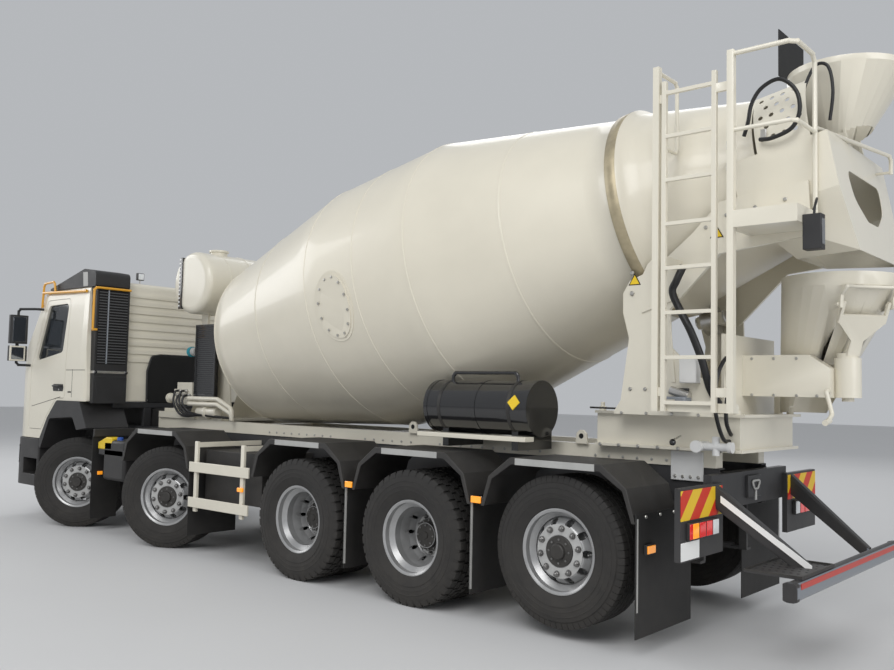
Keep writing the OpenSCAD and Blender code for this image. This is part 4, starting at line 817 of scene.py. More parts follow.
def build_cab(seam):
    """Seams, handles, louvres, lamps, mirrors, wipers and tubes of the cab."""
    for build in (build_door, build_side_panel):
        for name, side in SIDES:
            build(name, side, seam)
    build_duct()
    # dark plastic of the rear wall's recess, darkened further as painted shade, the roof lamp on its stalk
    # and the beam below
    recess = Shape()
    half = [(0.40, 1.49), (0.42, 1.62), (0.42, 1.90), (0.36, 2.055), (0.24, 2.08)]
    recess.prism([(-y, z) for y, z in half] + half[::-1], 0, X1 - 0.436, X1 - 0.405)
    recess.piece("rear_wall_recess", "shade_seam_print_black", "charcoal_plastic", 0.01)
    arch = [(X1 - 0.438, 0.425, 1.50), (X1 - 0.438, 0.43, 1.88), (X1 - 0.426, 0.37, 2.065),
            (X1 - 0.42, 0.25, 2.09)]
    rim = Shape().tube(arch + [(x, -y, z) for x, y, z in reversed(arch)], 0.012, 0.06, 10)
    rim.piece("rear_wall_recess_rim", "charcoal_plastic")
    Shape().rod(back(0.30, 0.50, 2.972), back(0.30, 0.50, 3.02), 0.008).piece("roof_lamp_stalk", "bare_steel")
    block("roof_lamp", back(0.325, 0.455, 3.02), back(0.275, 0.545, 3.11), "charcoal_plastic", bevel=0.006)
    block("roof_lamp_face", back(0.328, 0.463, 3.028), back(0.324, 0.537, 3.102), "clear_lens", bevel=0.002)
    beam = Shape().box(back(0.425, -0.86, 1.425), back(0.365, 0.86, 1.4985))
    for side in (1, -1):
        beam.box(back(0.42, 0.34 * side, 1.1995), back(0.37, 0.44 * side, 1.43))
    beam.piece("rear_cab_beam", "chassis_paint", bevel=0.005)
    wiper = Shape()
    for y0, y1 in ((0.85, 0.15), (-0.05, -0.75)):
        wiper.tube([(X1 + 1.372, y0, 1.93), (X1 + 1.345, (y0 + y1) / 2, 2.04), (X1 + 1.325, y1, 2.06)],
                   0.009, 0.05, 8)
        wiper.box((X1 + 1.335, y1 + 0.02, 2.055), (X1 + 1.347, y0 - 0.1, 2.075))
    wiper.piece("wipers", "flap_rubber", "charcoal_plastic")
    marker, head, glass = Shape(), Shape(), Shape()
    for side in (1, -1):
        marker.box(back(0.688, 1.10 * side, 0.66), back(0.6725, 1.16 * side, 0.70))
        head.prism(corner_arc(side, 0.250, 0.2632, 12, 76), 2, 0.685, 0.915)
        glass.prism(corner_arc(side, 0.255, 0.2665, 17, 71), 2, 0.705, 0.895)
    marker.piece("flap_markers", "amber_lens", bevel=0.003)
    head.piece("headlamp_housings", "charcoal_plastic", bevel=0.003)
    glass.piece("headlamp_lenses", "clear_lens", bevel=0.002)
    # wheel chock and fluid tank behind the first wheel, and the orange tubes
    chock = Shape()
    chock.prism([(X1 - 0.72, 0.965), (X1 - 0.72, 1.04), (X1 - 0.90, 1.105), (X1 - 1.02, 1.10),
                 (X1 - 1.02, 0.965)], 1, 1.06, 1.19)
    chock.piece("wheel_chock", "yellow_plastic", "charcoal_plastic", 0.008)
    cap = Shape().lathe([(0, 0.035), (0.03, 0.033), (0.035, 0.025)], back(1.10, 1.13, 1.075), UP, 24)
    cap.piece("filler_cap", "blue_plastic")
    block("fluid_tank", back(1.30, 0.72, 0.62), back(0.84, 1.19, 1.075), "charcoal_plastic", bevel=0.035)
    block("chock_shelf", back(1.31, 0.43, 0.90), back(0.74, 1.19, 0.965), "chassis_paint", bevel=0.006)
    tubes = Shape()
    for side in (1, -1):
        y = 1.216 * side
        tubes.tube([(X1 + 0.775, y, 2.66), (X1 + 0.745, y, 2.965), (X1 + 0.47, y, 2.976),
                    (X1 + 0.44, y, 2.838)], 0.0145, 0.06, 16)
    tubes.piece("roof_hoops", "orange_tube")
    hold = Shape().tube([back(0.525, 0.745, 2.851), back(0.525, 1.216, 2.851), back(0.525, 1.216, 2.35)],
                        0.0145, 0.06, 16)
    hold.piece("hand_hold_tube", "orange_tube")


# Chassis and body fittings
def build_chassis(strip_width):
    """Fender plates, flap strips, markers, the subframe's bolts and lifting eyes."""
    fenders = Shape()
    for n, length in ((2, 0.66), (3, 0.60), (4, 0.60), (5, 0.66)):
        for side in (1, -1):
            x = AXLE_X[n]
            fenders.box((x - length / 2, (FENDER_Y - 0.004) * side, FENDER_TOP - strip_width),
                        (x + length / 2, (FENDER_Y + 0.003) * side, FENDER_TOP - 0.002))
    fenders.piece("fender_plates", "dull_grey", "white_paint", 0.0015)
    edges = Shape()
    for n, low in ((3, 0.24), (4, 0.24), (5, 0.30)):
        for side in (1, -1):
            x = AXLE_X[n] - 0.6403
            edges.box((x - 0.010, (FENDER_Y - 0.028) * side, low),
                      (x + 0.001, (FENDER_Y - 0.010) * side, 0.90))
    edges.piece("flap_edge_strips", "dull_grey", "flap_rubber", 0.001)
    screws = Shape()
    for n in (2, 3, 4, 5):
        for side in (1, -1):
            for y in (0.72, 0.92, 1.12):
                screws.lathe([(0, 0.013), (0.006, 0.011)], (AXLE_X[n] - 0.6483, y * side, 0.905),
                             (-1, 0, 0), 10)
    screws.piece("flap_screws", "zinc_bolt")
    lenses = Shape()
    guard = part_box("side_guards")[1].y
    for side in (1, -1):
        lenses.box(back(3.53, (guard - 0.001) * side, 0.712), back(3.46, (guard + 0.004) * side, 0.748))
    lenses.piece("guard_marker_lenses", "amber_lens", bevel=0.002)
    tree = row_tree()
    head = small_piece("beam_bolt", Shape().lathe(
        [(0, 0.016), (0.004, 0.016), (0.004, 0.012), (0.013, 0.011), (0.014, 0.006)], ORIGIN, LEFT, 12))
    parts = []
    for start, count in ((2.9, 9), (4.35, 6), (5.3, 10), (6.9, 8)):
        values = {"Count": count, "Start": tuple(back(start, 0.4302, 1.235)), "Step": (-0.12, 0, 0)}
        mesh = run_tree(tree, values, head, "zinc_bolt")
        parts += [(mesh, Matrix.Identity(4)), (mesh, Matrix.Scale(-1, 4, LEFT))]
    bpy.data.objects.remove(head)
    settle("subframe_bolts", join_meshes("subframe_bolts", parts), "chassis", "zinc_bolt")
    eyes, holes = Shape(), Shape()
    for x in (X1 - 5.0, X1 - 6.79):
        for side in (1, -1):
            eyes.prism([(x - 0.055, 1.318), (x + 0.055, 1.318), (x + 0.045, 1.40), (x + 0.02, 1.425),
                        (x - 0.02, 1.425), (x - 0.045, 1.40)], 1, 0.455 * side, 0.475 * side)
            holes.lathe([(0, 0.021), (0.0215, 0.021)], (x, 0.4545 * side, 1.378), (0, side, 0), 20)
    eyes.piece("lifting_eyes", "white_paint", bevel=0.003)
    # painted shade: near-black plugs fill the openings of the eyes
    holes.piece("lifting_eye_holes", "shade_seam_print_black")


def build_water_tank():
    x, z = X1 - 1.60, 2.90
    rings = Shape()
    for y, half, low, high in ((-0.31, 0.012, 0.010, 0.3645), (0.31, 0.012, 0.010, 0.3645),
                               (0, 0.018, 0.015, 0.366)):
        rings.lathe([(-half, 0.3605), (-low, high), (low, high), (half, 0.3605)], (x, y, z), LEFT, 72,
                    closed=True)
    rings.piece("water_tank_seams", "white_paint")
    block("water_gauge", (x + 0.155, 0.5, z - 0.30), (x + 0.185, 0.640, z + 0.30), "black_paint", bevel=0.003)
    block("water_gauge_scale", (x + 0.190, 0.5, z - 0.30), (x + 0.215, 0.636, z + 0.30), "black_paint",
          "white_paint", 0.002)
    marks = Shape()
    for k in range(13):
        low = z - 0.27 + k * 0.045
        marks.box((x + 0.1895, 0.50, low), (x + 0.2155, 0.6370, low + 0.016))
    marks.piece("water_gauge_marks", "plate_white", "black_paint")
    filler = Shape().lathe([(0, 0.10), (0.05, 0.10), (0.055, 0.115), (0.075, 0.115), (0.08, 0.10)],
                           (x, 0.25, z + 0.335), UP, 40)
    filler.piece("water_filler", "white_paint")


def build_cooler():
    """Cover, fins, frame and filter of the cooler."""
    x = X1 - 2.08
    block("cooler_cover", (x + 0.1765, 0.4090, 1.5865), (x + 0.5795, 0.4560, 2.4235), "black_paint",
          bevel=0.003)
    fins = Shape()
    for k in range(33):
        z = 1.625 + k * 0.0235
        fins.box((x + 0.215, 0.454, z), (x + 0.541, 0.461, z + 0.008))
    fins.piece("cooler_fins", "chassis_paint", "black_paint")
    edge = Shape().strip([(x + 0.178, 1.588), (x + 0.578, 1.588), (x + 0.578, 2.422), (x + 0.178, 2.422)],
                         [(x + 0.21, 1.618), (x + 0.546, 1.618), (x + 0.546, 2.395), (x + 0.21, 2.395)],
                         1, 0.4090, 0.464)
    edge.piece("cooler_frame", "black_paint", bevel=0.003)
    bowl = Shape().lathe([(0, 0.05), (0.075, 0.05), (0.08, 0.045)], (x + 0.578, 0.435, 2.11), (1, 0, 0), 28)
    bowl.piece("filter_bowl", "dull_grey", "black_paint")
    cap = Shape().lathe([(0, 0.06), (0.045, 0.06), (0.055, 0.05)], (x + 0.656, 0.435, 2.11), (1, 0, 0), 28)
    cap.piece("filter_cap", "teal_cap")


def build_valves():
    """White valve stand, pump, ports, hoses and pipes ahead of the drum's drive."""
    stand = Shape()
    stand.box(back(1.55, 0.40, 1.325), back(0.80, 0.47, 1.40))
    stand.box(back(1.17, 0.41, 1.40), back(1.10, 0.46, 1.67))
    stand.box(back(1.10, 0.415, 1.40), back(0.90, 0.455, 1.44))
    stand.piece("valve_stand", "white_paint", bevel=0.004)
    pump = Shape()
    pump.lathe([(0, 0.045), (0.10, 0.045), (0.105, 0.06), (0.125, 0.06)], back(1.10, 0.435, 1.56),
               (1, 0, 0), 24)
    pump.lathe([(0, 0.05), (0.03, 0.065), (0.16, 0.065), (0.17, 0.08), (0.20, 0.08), (0.21, 0.06),
                (0.36, 0.06), (0.37, 0.045)], back(1.62, 0.46, 1.415), (-1, 0, 0), 28)
    pump.piece("pump", "white_paint")
    ports, hoses = Shape(), Shape()
    for k, x in enumerate((1.45, 1.39, 1.33, 1.27, 1.21)):
        z = 1.60 + 0.05 * (k % 2)
        ports.lathe([(0, 0.022), (0.025, 0.022), (0.03, 0.016), (0.045, 0.016)], back(x, 0.4705, z), LEFT, 12)
        if k < 4:
            hoses.hose([(x, 0.508, z), (x, 0.56, z - 0.02), (x + 0.02, 0.58, 1.50),
                        (x + 0.12, 0.53, 1.40 - 0.012 * k), (x + 0.45, 0.50, 1.375),
                        (x + 0.80, 0.47, 1.36)], 0.013)
    ports.piece("valve_ports", "bare_steel")
    hoses.piece("valve_hoses", "hose_rubber")
    pipes = Shape()
    for z in (1.565, 1.505):
        pipes.tube([back(1.50, 0.52, z), back(2.06, 0.52, z), back(2.33, 0.52, z - 0.10),
                    back(2.33, 0.52, 1.33)], 0.026, 0.08, 16)
    pipes.piece("white_pipes", "white_paint")


def build_additive_tank(strap):
    """Bands, straps, handle and blank diamond of the additive tank, and the step bar beside it."""
    x, y, z = X1 - 6.11, 0.78, 1.585
    for name, places, inner, outer, width, material, slot in (
            ("bands", (-0.519, -0.02, 0.481), 0.213, 0.2185, 0.038, "black_paint", None),
            ("straps", (-0.36, 0.34), 0.2145, 0.2175, strap, "dark_hub", "bare_steel")):
        rings = Shape()
        for place in places:
            rings.lathe([(0, inner), (0, outer), (width, outer), (width, inner)], (x + place, y, z),
                        (1, 0, 0), 64, closed=True)
        rings.piece(f"additive_tank_{name}", material, slot)
    turn, half = math.radians(78), 0.058
    out = Vector((0, math.sin(turn), math.cos(turn)))
    centre = Vector((x - 0.40, y, z)) + 0.2165 * out
    across, up = Vector((1, 0, 0)) * half, Vector((0, -out.z, out.y)) * half
    diamond = Shape().slab([centre + across, centre + up, centre - across, centre - up], out, -0.012, 0.003)
    diamond.piece("warning_diamond", "yellow_plastic", "black_paint")
    block("additive_step_bar", back(6.64, 0.90, 1.335), back(5.55, 1.02, 1.372), "white_paint", bevel=0.004)
    ends = ((0.33, 0.195), (0.33, 0.275), (-0.33, 0.275), (-0.33, 0.195))
    handle = Shape().tube([(x + along, y + 0.06, z + up) for along, up in ends], 0.0145, 0.05, 14)
    handle.piece("additive_tank_handle", "black_paint")


def build_tanks(strap):
    """Fittings of the water tank, the cooler, the valves and the additive tank."""
    build_water_tank()
    build_cooler()
    build_valves()
    build_additive_tank(strap)


def build_drum(seam):
    """Seams, hatch and flange bolts of the drum; they turn with it."""
    profile = [(0.0, 0.450), (0.439, 0.907), (2.276, 1.224), (3.533, 1.232), (5.216, 0.813)]

    def radius(s):
        for (s0, r0), (s1, r1) in zip(profile, profile[1:]):
            if s0 <= s <= s1:
                return r0 + (r1 - r0) * (s - s0) / (s1 - s0)

    rings = Shape()
    for s in (0.446, 1.35, 2.276, 2.91, 3.533, 4.38):
        low, high = radius(s - 0.008), radius(s + 0.008)
        rings.lathe([(s - 0.008, low - 0.002), (s - 0.005, low + seam), (s + 0.005, high + seam),
                     (s + 0.008, high - 0.002)], DRUM_FRONT, DRUM_AXIS, 120, closed=True)
    rings.piece("drum_seams", "drum_paint", body="drum")
    hatch_s, hatch_turn, drum_r = 2.62, 100, 1.226

    def on_hatch(a, along, across, lift):
        """A point of an oval round the hatch's middle, lifted off the drum."""
        s = hatch_s + along * math.cos(a)
        degrees = hatch_turn + math.degrees(across * math.sin(a) / drum_r)
        return at_drum(s, radius(s) + lift, degrees), degrees

    for name, grow, lift in (("drum_hatch", 0.0, 0.010), ("drum_hatch_rim", 0.03, 0.005)):
        oval = Shape().skin([[on_hatch(a, 0.20 + grow, 0.29 + grow, level)[0] for a in around(40)]
                             for level in (-0.006, lift)])
        oval.piece(name, "drum_paint", body="drum")
    bolts = Shape()
    for i in range(12):
        place, degrees = on_hatch(2 * math.pi * (i + 0.5) / 12, 0.175, 0.262, 0.009)
        out = at_drum(0, 1, degrees) - DRUM_FRONT
        bolts.lathe([(0, 0.013), (0.008, 0.012), (0.009, 0.008)], place, out, 8)
    bolts.piece("drum_hatch_bolts", "zinc_bolt", body="drum")
    flange = Shape()
    for i in range(16):
        flange.lathe([(0.026, 0.012), (-0.010, 0.012)], at_drum(-0.0255, 0.20, 360 * i / 16), DRUM_AXIS, 6)
    flange.piece("drum_flange_bolts", "zinc_bolt", body="drum")


def triangle_sign(name, x, z):
    """A yellow warning triangle with a dark border on the pedestal's left plate."""
    corners = [back(x, 0.660, z), back(x + 0.10, 0.660, z), back(x + 0.05, 0.660, z + 0.085)]
    middle = sum(corners, Vector()) / 3
    for label, part, lift, material in (("border", 1.0, 0.002, "shade_seam_print_black"),
                                        ("field", 0.78, 0.0034, "yellow_plastic")):
        shape = Shape().slab([middle + (c - middle) * part for c in corners], Vector(LEFT), -0.001, lift)
        shape.piece(f"{name}_{label}", material, "lamp_lens")


def build_pedestal():
    """Bolts, stiffeners, roller caps, signs and boxes of the rear pedestal's left side."""
    plate = 0.660
    bolts = Shape()
    bolts.bolts([(x, plate, 1.75) for x in (7.32, 7.44, 7.56)])
    bolts.bolts([(x, plate, z) for x, z in ((7.33, 2.45), (7.33, 2.60), (7.55, 2.45), (7.55, 2.62))],
                0.018, 0.014)
    bolts.bolts([(x, plate, z) for x, z in ((7.9, 2.88), (8.05, 2.95), (8.25, 2.98), (8.45, 3.01))])
    bolts.bolts([(x, plate, 1.576) for x in (7.25, 7.45, 7.65, 7.85)], 0.012, 0.01)
    bolts.bolts([(7.0 + 0.16 * k, 0.540, 1.330) for k in range(7)])
    bolts.piece("pedestal_bolts", "zinc_bolt")
    ribs = Shape()
    ribs.prism([(X1 - 7.41, 2.30), (X1 - 7.44, 2.335), (X1 - 7.69, 2.43), (X1 - 7.69, 2.39)], 1, 0.655, 0.672)
    ribs.prism([(X1 - 7.60, 2.30), (X1 - 7.63, 2.30), (X1 - 7.68, 1.80), (X1 - 7.65, 1.80)], 1, 0.655, 0.668)
    ribs.piece("pedestal_stiffeners", "white_paint", bevel=0.003)
    caps = Shape()
    for name in ("left", "right"):
        for end in (-1, 1):
            caps.lathe([(0, 0.052), (0.012, 0.052), (0.02, 0.04)],
                       joint_place(f"roller_{name}_spin") + DRUM_AXIS * (end * 0.11), DRUM_AXIS * end, 28)
    caps.piece("roller_caps", "bare_steel")
    triangle_sign("sign_column", 7.30, 2.51)
    triangle_sign("sign_arm", 7.93, 2.80)
    block("sensor_box", back(7.865, 0.655, 1.795), back(7.735, 0.73, 1.97), "cool_white", bevel=0.008)
    Shape().rod(back(7.80, 0.70, 1.705), back(7.66, 0.70, 1.745), 0.03, 20).piece("canister", "bare_steel")
    block("canister_clip", back(7.78, 0.655, 1.70), back(7.70, 0.675, 1.76), "black_paint", bevel=0.003)
    block("control_box", back(7.80, 0.655, 1.605), back(7.62, 0.76, 1.70), "control_grey", bevel=0.012)
    knobs = Shape()
    for k in range(3):
        place = back(7.66 + 0.045 * k, 0.76, 1.655)
        knobs.lathe([(0, 0.012), (0.014, 0.012), (0.018, 0.008)], place, LEFT, 14)
    knobs.piece("control_knobs", "red_paint", "charcoal_plastic")
    lever = Shape().tube([back(7.66, 0.545, 1.42), back(7.67, 0.66, 1.40), back(7.68, 0.70, 1.385)],
                         0.008, 0.03, 8)
    lever.piece("lever", "bare_steel")
    ball = Shape().lathe([(-0.024, 0), (-0.021, 0.013), (-0.012, 0.021), (0, 0.024), (0.012, 0.021),
                          (0.021, 0.013), (0.024, 0)], back(7.684, 0.715, 1.382), LEFT, 20)
    ball.piece("lever_ball", "black_paint")
    block("tie_plate", back(7.79, 0.4405, 1.10), back(7.54, 0.456, 1.31), "cool_white", bevel=0.004)
    bolts = Shape().bolts([(7.575 + 0.06 * k, 0.456, 1.128) for k in range(4)], 0.012)
    bolts.piece("tie_plate_bolts", "zinc_bolt")


def build_rear(hose):
    """Hoses, levers, signs and pins of the rear pedestal, the hood and the platform."""
    build_pedestal()
    thick = Shape().hose([(7.80, 0.80, 2.60), (7.76, 0.82, 2.50), (7.73, 0.82, 2.42), (7.79, 0.81, 2.28),
                          (7.86, 0.80, 2.14), (7.92, 0.76, 1.95), (7.95, 0.70, 1.76), (7.97, 0.60, 1.66)],
                         hose * 1.9, 14)
    thick.piece("thick_hose", "hose_rubber")
    loops = Shape()
    loops.hose([(7.99, 0.46, 1.93), (8.03, 0.62, 1.97), (8.03, 0.76, 1.84), (8.02, 0.77, 1.62),
                (8.01, 0.62, 1.42), (8.00, 0.45, 1.40)], hose)
    loops.hose([(7.99, 0.44, 1.88), (8.05, 0.55, 1.90), (8.06, 0.66, 1.75), (8.04, 0.64, 1.55),
                (8.02, 0.52, 1.45), (8.00, 0.44, 1.46)], hose)
    loops.piece("hydraulic_hoses", "hose_rubber")
    rod = Shape().tube([back(6.93, 0.575, 1.605), back(7.52, 0.60, 1.60), back(7.66, 0.64, 1.62)],
                       0.007, 0.05, 8)
    rod.piece("control_rod", "dark_hub", "chassis_paint")
    fit = Shape()
    for start, end, radius in (((7.84, 0.47, 1.36), (7.84, 0.66, 1.36), 0.033),
                               ((7.84, 0.60, 1.36), (8.06, 0.60, 1.36), 0.028),
                               ((7.95, 0.60, 1.30), (7.95, 0.60, 1.43), 0.026),
                               ((7.84, 0.655, 1.36), (7.84, 0.685, 1.36), 0.042),
                               ((8.04, 0.60, 1.36), (8.07, 0.60, 1.36), 0.038)):
        fit.rod(back(*start), back(*end), radius, 20)
    fit.piece("water_fittings", "cool_white")
    pins = Shape()
    for x, y in ((7.0, 0.505), (7.0, -0.505), (8.06, 0.505), (8.06, -0.505)):
        pins.lathe([(0, 0.026), (0.03, 0.026), (0.034, 0.016), (0.06, 0.016), (0.064, 0.012)],
                   back(x, y, 1.5845), UP, 20)
    pins.piece("base_pins", "white_paint")
    # latches of the hood, the work lamp and the hoses over the hood's guards
    latch = Shape()
    for x, z in ((8.06, 3.44), (8.06, 3.29), (8.30, 3.48)):
        latch.box(back(x + 0.02, 0.632, z - 0.03), back(x - 0.02, 0.648, z + 0.03))
    latch.piece("hood_latches", "bare_steel", bevel=0.003)
    block("rear_work_lamp", back(8.7735, 0.872, 2.65), back(8.769, 0.928, 2.81), "smoked_lens", bevel=0.002)
    lead = Shape().hose([(8.62, 0.665, 2.88), (8.66, 0.70, 2.95), (8.70, 0.80, 2.96), (8.715, 0.88, 2.90),
                         (8.715, 0.90, 2.83)], 0.008, 8)
    lead.piece("work_lamp_lead", "hose_rubber")
    guard = Shape()
    guard.hose([(8.17, 0.655, 3.48), (8.209, 0.68, 3.566), (8.236, 0.685, 3.685), (8.305, 0.685, 3.781),
                (8.426, 0.685, 3.817), (8.531, 0.685, 3.721), (8.556, 0.685, 3.583), (8.504, 0.685, 3.473),
                (8.372, 0.68, 3.429), (8.28, 0.655, 3.44)], hose)
    guard.hose([(8.476, 0.455, 3.602), (8.503, 0.45, 3.79), (8.577, 0.45, 3.939), (8.661, 0.45, 3.92),
                (8.692, 0.45, 3.751), (8.672, 0.45, 3.552)], hose * 0.8)
    guard.piece("guard_hoses", "hose_rubber")
    crank = Shape()
    crank.tube([back(8.56, 0.155, 1.76), back(8.56, 0.21, 1.76), back(8.60, 0.21, 1.60),
                back(8.60, 0.29, 1.56)], 0.015, 0.03, 12)
    crank.rod(back(8.60, 0.27, 1.56), back(8.60, 0.36, 1.545), 0.02, 14)
    crank.piece("crank", "white_paint")
    edge = Shape()
    for z, places in ((1.725, (8.02, 8.18, 8.34, 8.48)), (1.985, (8.02, 8.18, 8.34))):
        edge.bolts([(x, 0.150, z) for x in places], 0.011, 0.006)
    edge.piece("console_bolts", "zinc_bolt")


def build_tail(stripe):
    """Boards, lenses, blank plate, tow eye, and the rear guard's stripe, step and arm strip."""
    board_x, bar_x = X1 - 8.0, X1 - 8.64
    board = Shape()
    lens = {"red_lens": Shape(), "amber_lens": Shape(), "clear_lens": Shape()}
    for side in (1, -1):
        board.box((board_x - 0.004, 0.615 * side, 0.915), (board_x + 0.002, 1.235 * side, 1.105))
        for a, b, material in ((0.725, 0.81, "clear_lens"), (0.825, 0.91, "red_lens"),
                               (0.925, 1.01, "red_lens"), (1.025, 1.108, "amber_lens"),
                               (1.115, 1.155, "red_lens")):
            lens[material].box(back(8.029, a * side, 0.797), back(8.0235, b * side, 0.893))
    board.piece("warning_boards", "warning_stripes", bevel=0.001)
    for material, shape in lens.items():
        shape.piece(f"rear_{material}", material, bevel=0.003)
    block("blank_plate", (board_x - 0.004, 0.97, 0.665), (board_x + 0.002, 1.235, 0.78), "plate_white",
          "white_paint", 0.002)
    block("plate_holder", (board_x - 0.0025, 0.96, 0.655), (board_x + 0.002, 1.238, 0.788),
          "charcoal_plastic", bevel=0.002)
    block("guard_stripe", (bar_x - 0.0475, -1.06, 0.575), (bar_x - 0.043, 1.06, 0.575 + stripe), "red_paint",
          "lamp_lens", 0.001)
    caps = Shape()
    half = [(-0.043, 0.51), (-0.02, 0.502), (0.02, 0.502), (0.043, 0.51)]
    outline = [(bar_x + x, z) for x, z in half] + [(bar_x + x, 1.12 - z) for x, z in reversed(half)]
    for side in (1, -1):
        caps.prism(outline, 1, 1.08 * side, 1.128 * side)
    caps.piece("guard_end_caps", "charcoal_plastic", bevel=0.004)
    tree = row_tree()
    # painted shade: near-black discs stand for the openings in the step
    disc = small_piece("plate_hole", Shape().rod(ORIGIN, (0, 0, 0.0006), 0.009, 12))
    parts = []
    for k in range(7):
        start = (bar_x + 0.02 + 0.022 * (k % 2), 0.44 + 0.085 * k, 0.6292)
        mesh = run_tree(tree, {"Count": 7, "Start": start, "Step": (0.044, 0, 0)}, disc, "shade_seam_print_black")
        parts.append((mesh, Matrix.Identity(4)))
    bpy.data.objects.remove(disc)
    settle("step_holes", join_meshes("step_holes", parts), "chassis", "shade_seam_print_black")
    lip = Shape().strip(
        [(bar_x - 0.028, 0.40), (bar_x + 0.33, 0.40), (bar_x + 0.33, 1.0), (bar_x - 0.028, 1.0)],
        [(bar_x - 0.020, 0.408), (bar_x + 0.322, 0.408), (bar_x + 0.322, 0.992), (bar_x - 0.020, 0.992)],
        2, 0.6285, 0.641)
    lip.piece("step_lip", "dark_hub", "chassis_paint")
    hook = Shape()
    hook.tube([back(7.9935, y, z) for y, z in ((-0.075, 1.10), (0.075, 1.10), (0.03, 1.04), (-0.03, 1.04))],
              0.008, 0.03, 10, closed=True)
    hook.rod(back(7.99, 0, 1.03), back(7.99, 0, 0.96), 0.009)
    hook.piece("tow_eye", "dull_grey", "chassis_paint")
    block("flap_lamp_body", back(7.722, 1.03, 0.66), back(7.6985, 1.15, 0.725), "charcoal_plastic",
          bevel=0.004)
    block("flap_lamp_lens", back(7.729, 1.037, 0.667), back(7.7215, 1.143, 0.718), "amber_lens", bevel=0.003)
    a, b, c, d = [back(*p) for p in ((8.04, 0.7285, 1.0), (8.60, 0.6245, 0.60), (8.60, 0.6245, 0.645),
                                     (8.04, 0.7285, 1.045))]
    out = (b - a).cross(d - a).normalized()
    Shape().slab([a, b, c, d], out, -0.012, 0.0025).piece("arm_strip", "plate_white", "lamp_lens")
    block("tow_plate", back(7.985, -0.12, 0.98), back(7.955, 0.12, 1.14), "chassis_paint", bevel=0.006)


def build_finishes():
    """Gives every CAD node that stays in view its finish."""
    finishes = {
        "frame_rails": "chassis_paint", "engine_block": "dark_hub", "steer_axle_beams": "chassis_paint",
        "drive_axles": "chassis_paint", "side_boxes": "fender_plastic", "side_guards": "white_paint",
        "fenders": "fender_plastic", "rubber_flaps": "flap_rubber", "cab_shell": "white_paint",
        "cab_glass": "cab_glazing", "cab_interior": "seat_cloth", "front_bumper": "charcoal_plastic",
        "cab_trim": "charcoal_plastic", "roof_rails": "orange_tube", "lamps": "amber_lens",
        "subframe": "white_paint", "drum_drive": "white_paint", "water_tank": "white_paint",
        "additive_tank": "black_paint", "rear_pedestal": "white_paint", "hood": "white_paint",
        "hopper": "white_paint", "ladder_frame": "white_paint", "rear_guard": "chassis_paint",
        "drum": "drum_paint", "roller_left": "bare_steel", "roller_right": "bare_steel",
        "chute_bracket": "white_paint", "chute": "white_paint", "sliding_ladder": "white_paint",
        "door_left": "white_paint", "door_right": "white_paint", "glass_door_left": "cab_glazing",
        "glass_door_right": "cab_glazing"}
    edges = {
        "side_guards": 0.004, "fenders": 0.005, "cab_shell": 0.006, "front_bumper": 0.008, "cab_trim": 0.006,
        "subframe": 0.003, "drum_drive": 0.004, "rear_pedestal": 0.004, "ladder_frame": 0.0025,
        "rear_guard": 0.004, "sliding_ladder": 0.0025, "side_boxes": 0.006, "frame_rails": 0.003,
        "door_left": 0.004, "door_right": 0.004, "chute_bracket": 0.003, "hood": 0.0015, "cab_interior": 0.02,
        "engine_block": 0.01, "rubber_flaps": 0.002, "lamps": 0.004, "hopper": 0.0, "chute": 0.0, "drum": 0.0}
    for node, obj in frame["nodes"].items():
        if node.startswith("tyre_"):
            continue
        if node.startswith("rim_"):
            material = "silver_wheel"
        elif node.startswith("knuckle_"):
            material = "chassis_paint"
        else:
            material = finishes[node]
        if node in edges:
            made = dress(node, material, edges[node])
            if node == "lamps":
                made.data.materials.append(MATERIALS["charcoal_plastic"])
                for face in made.data.polygons:
                    x, _, z = face.center
                    on_tail = x < X1 - 7.9 and 0.78 < z < 0.95
                    face.material_index = int(z > 2.5 or on_tail)
            if node == "rear_guard":
                made.data.materials.append(MATERIALS["bar_grey"])
                for face in made.data.polygons:
                    x, _, z = face.center
                    face.material_index = int(x < X1 - 8.59 and z < 0.615)
            if node == "drum":
                made.data.materials.append(MATERIALS["track_tan"])
                for face in made.data.polygons:
                    along = (face.center - DRUM_FRONT).dot(DRUM_AXIS)
                    off = (face.center - DRUM_FRONT - along * DRUM_AXIS).length
                    face.material_index = int(abs(along - TRACK_PLACE) < TRACK_HALF and off > TRACK_RADIUS)
        else:
            keep(node, material)
            obj.data.polygons.foreach_set("use_smooth", [True] * len(obj.data.polygons))
            obj.data.set_sharp_from_angle(angle=SHARP_ANGLE)


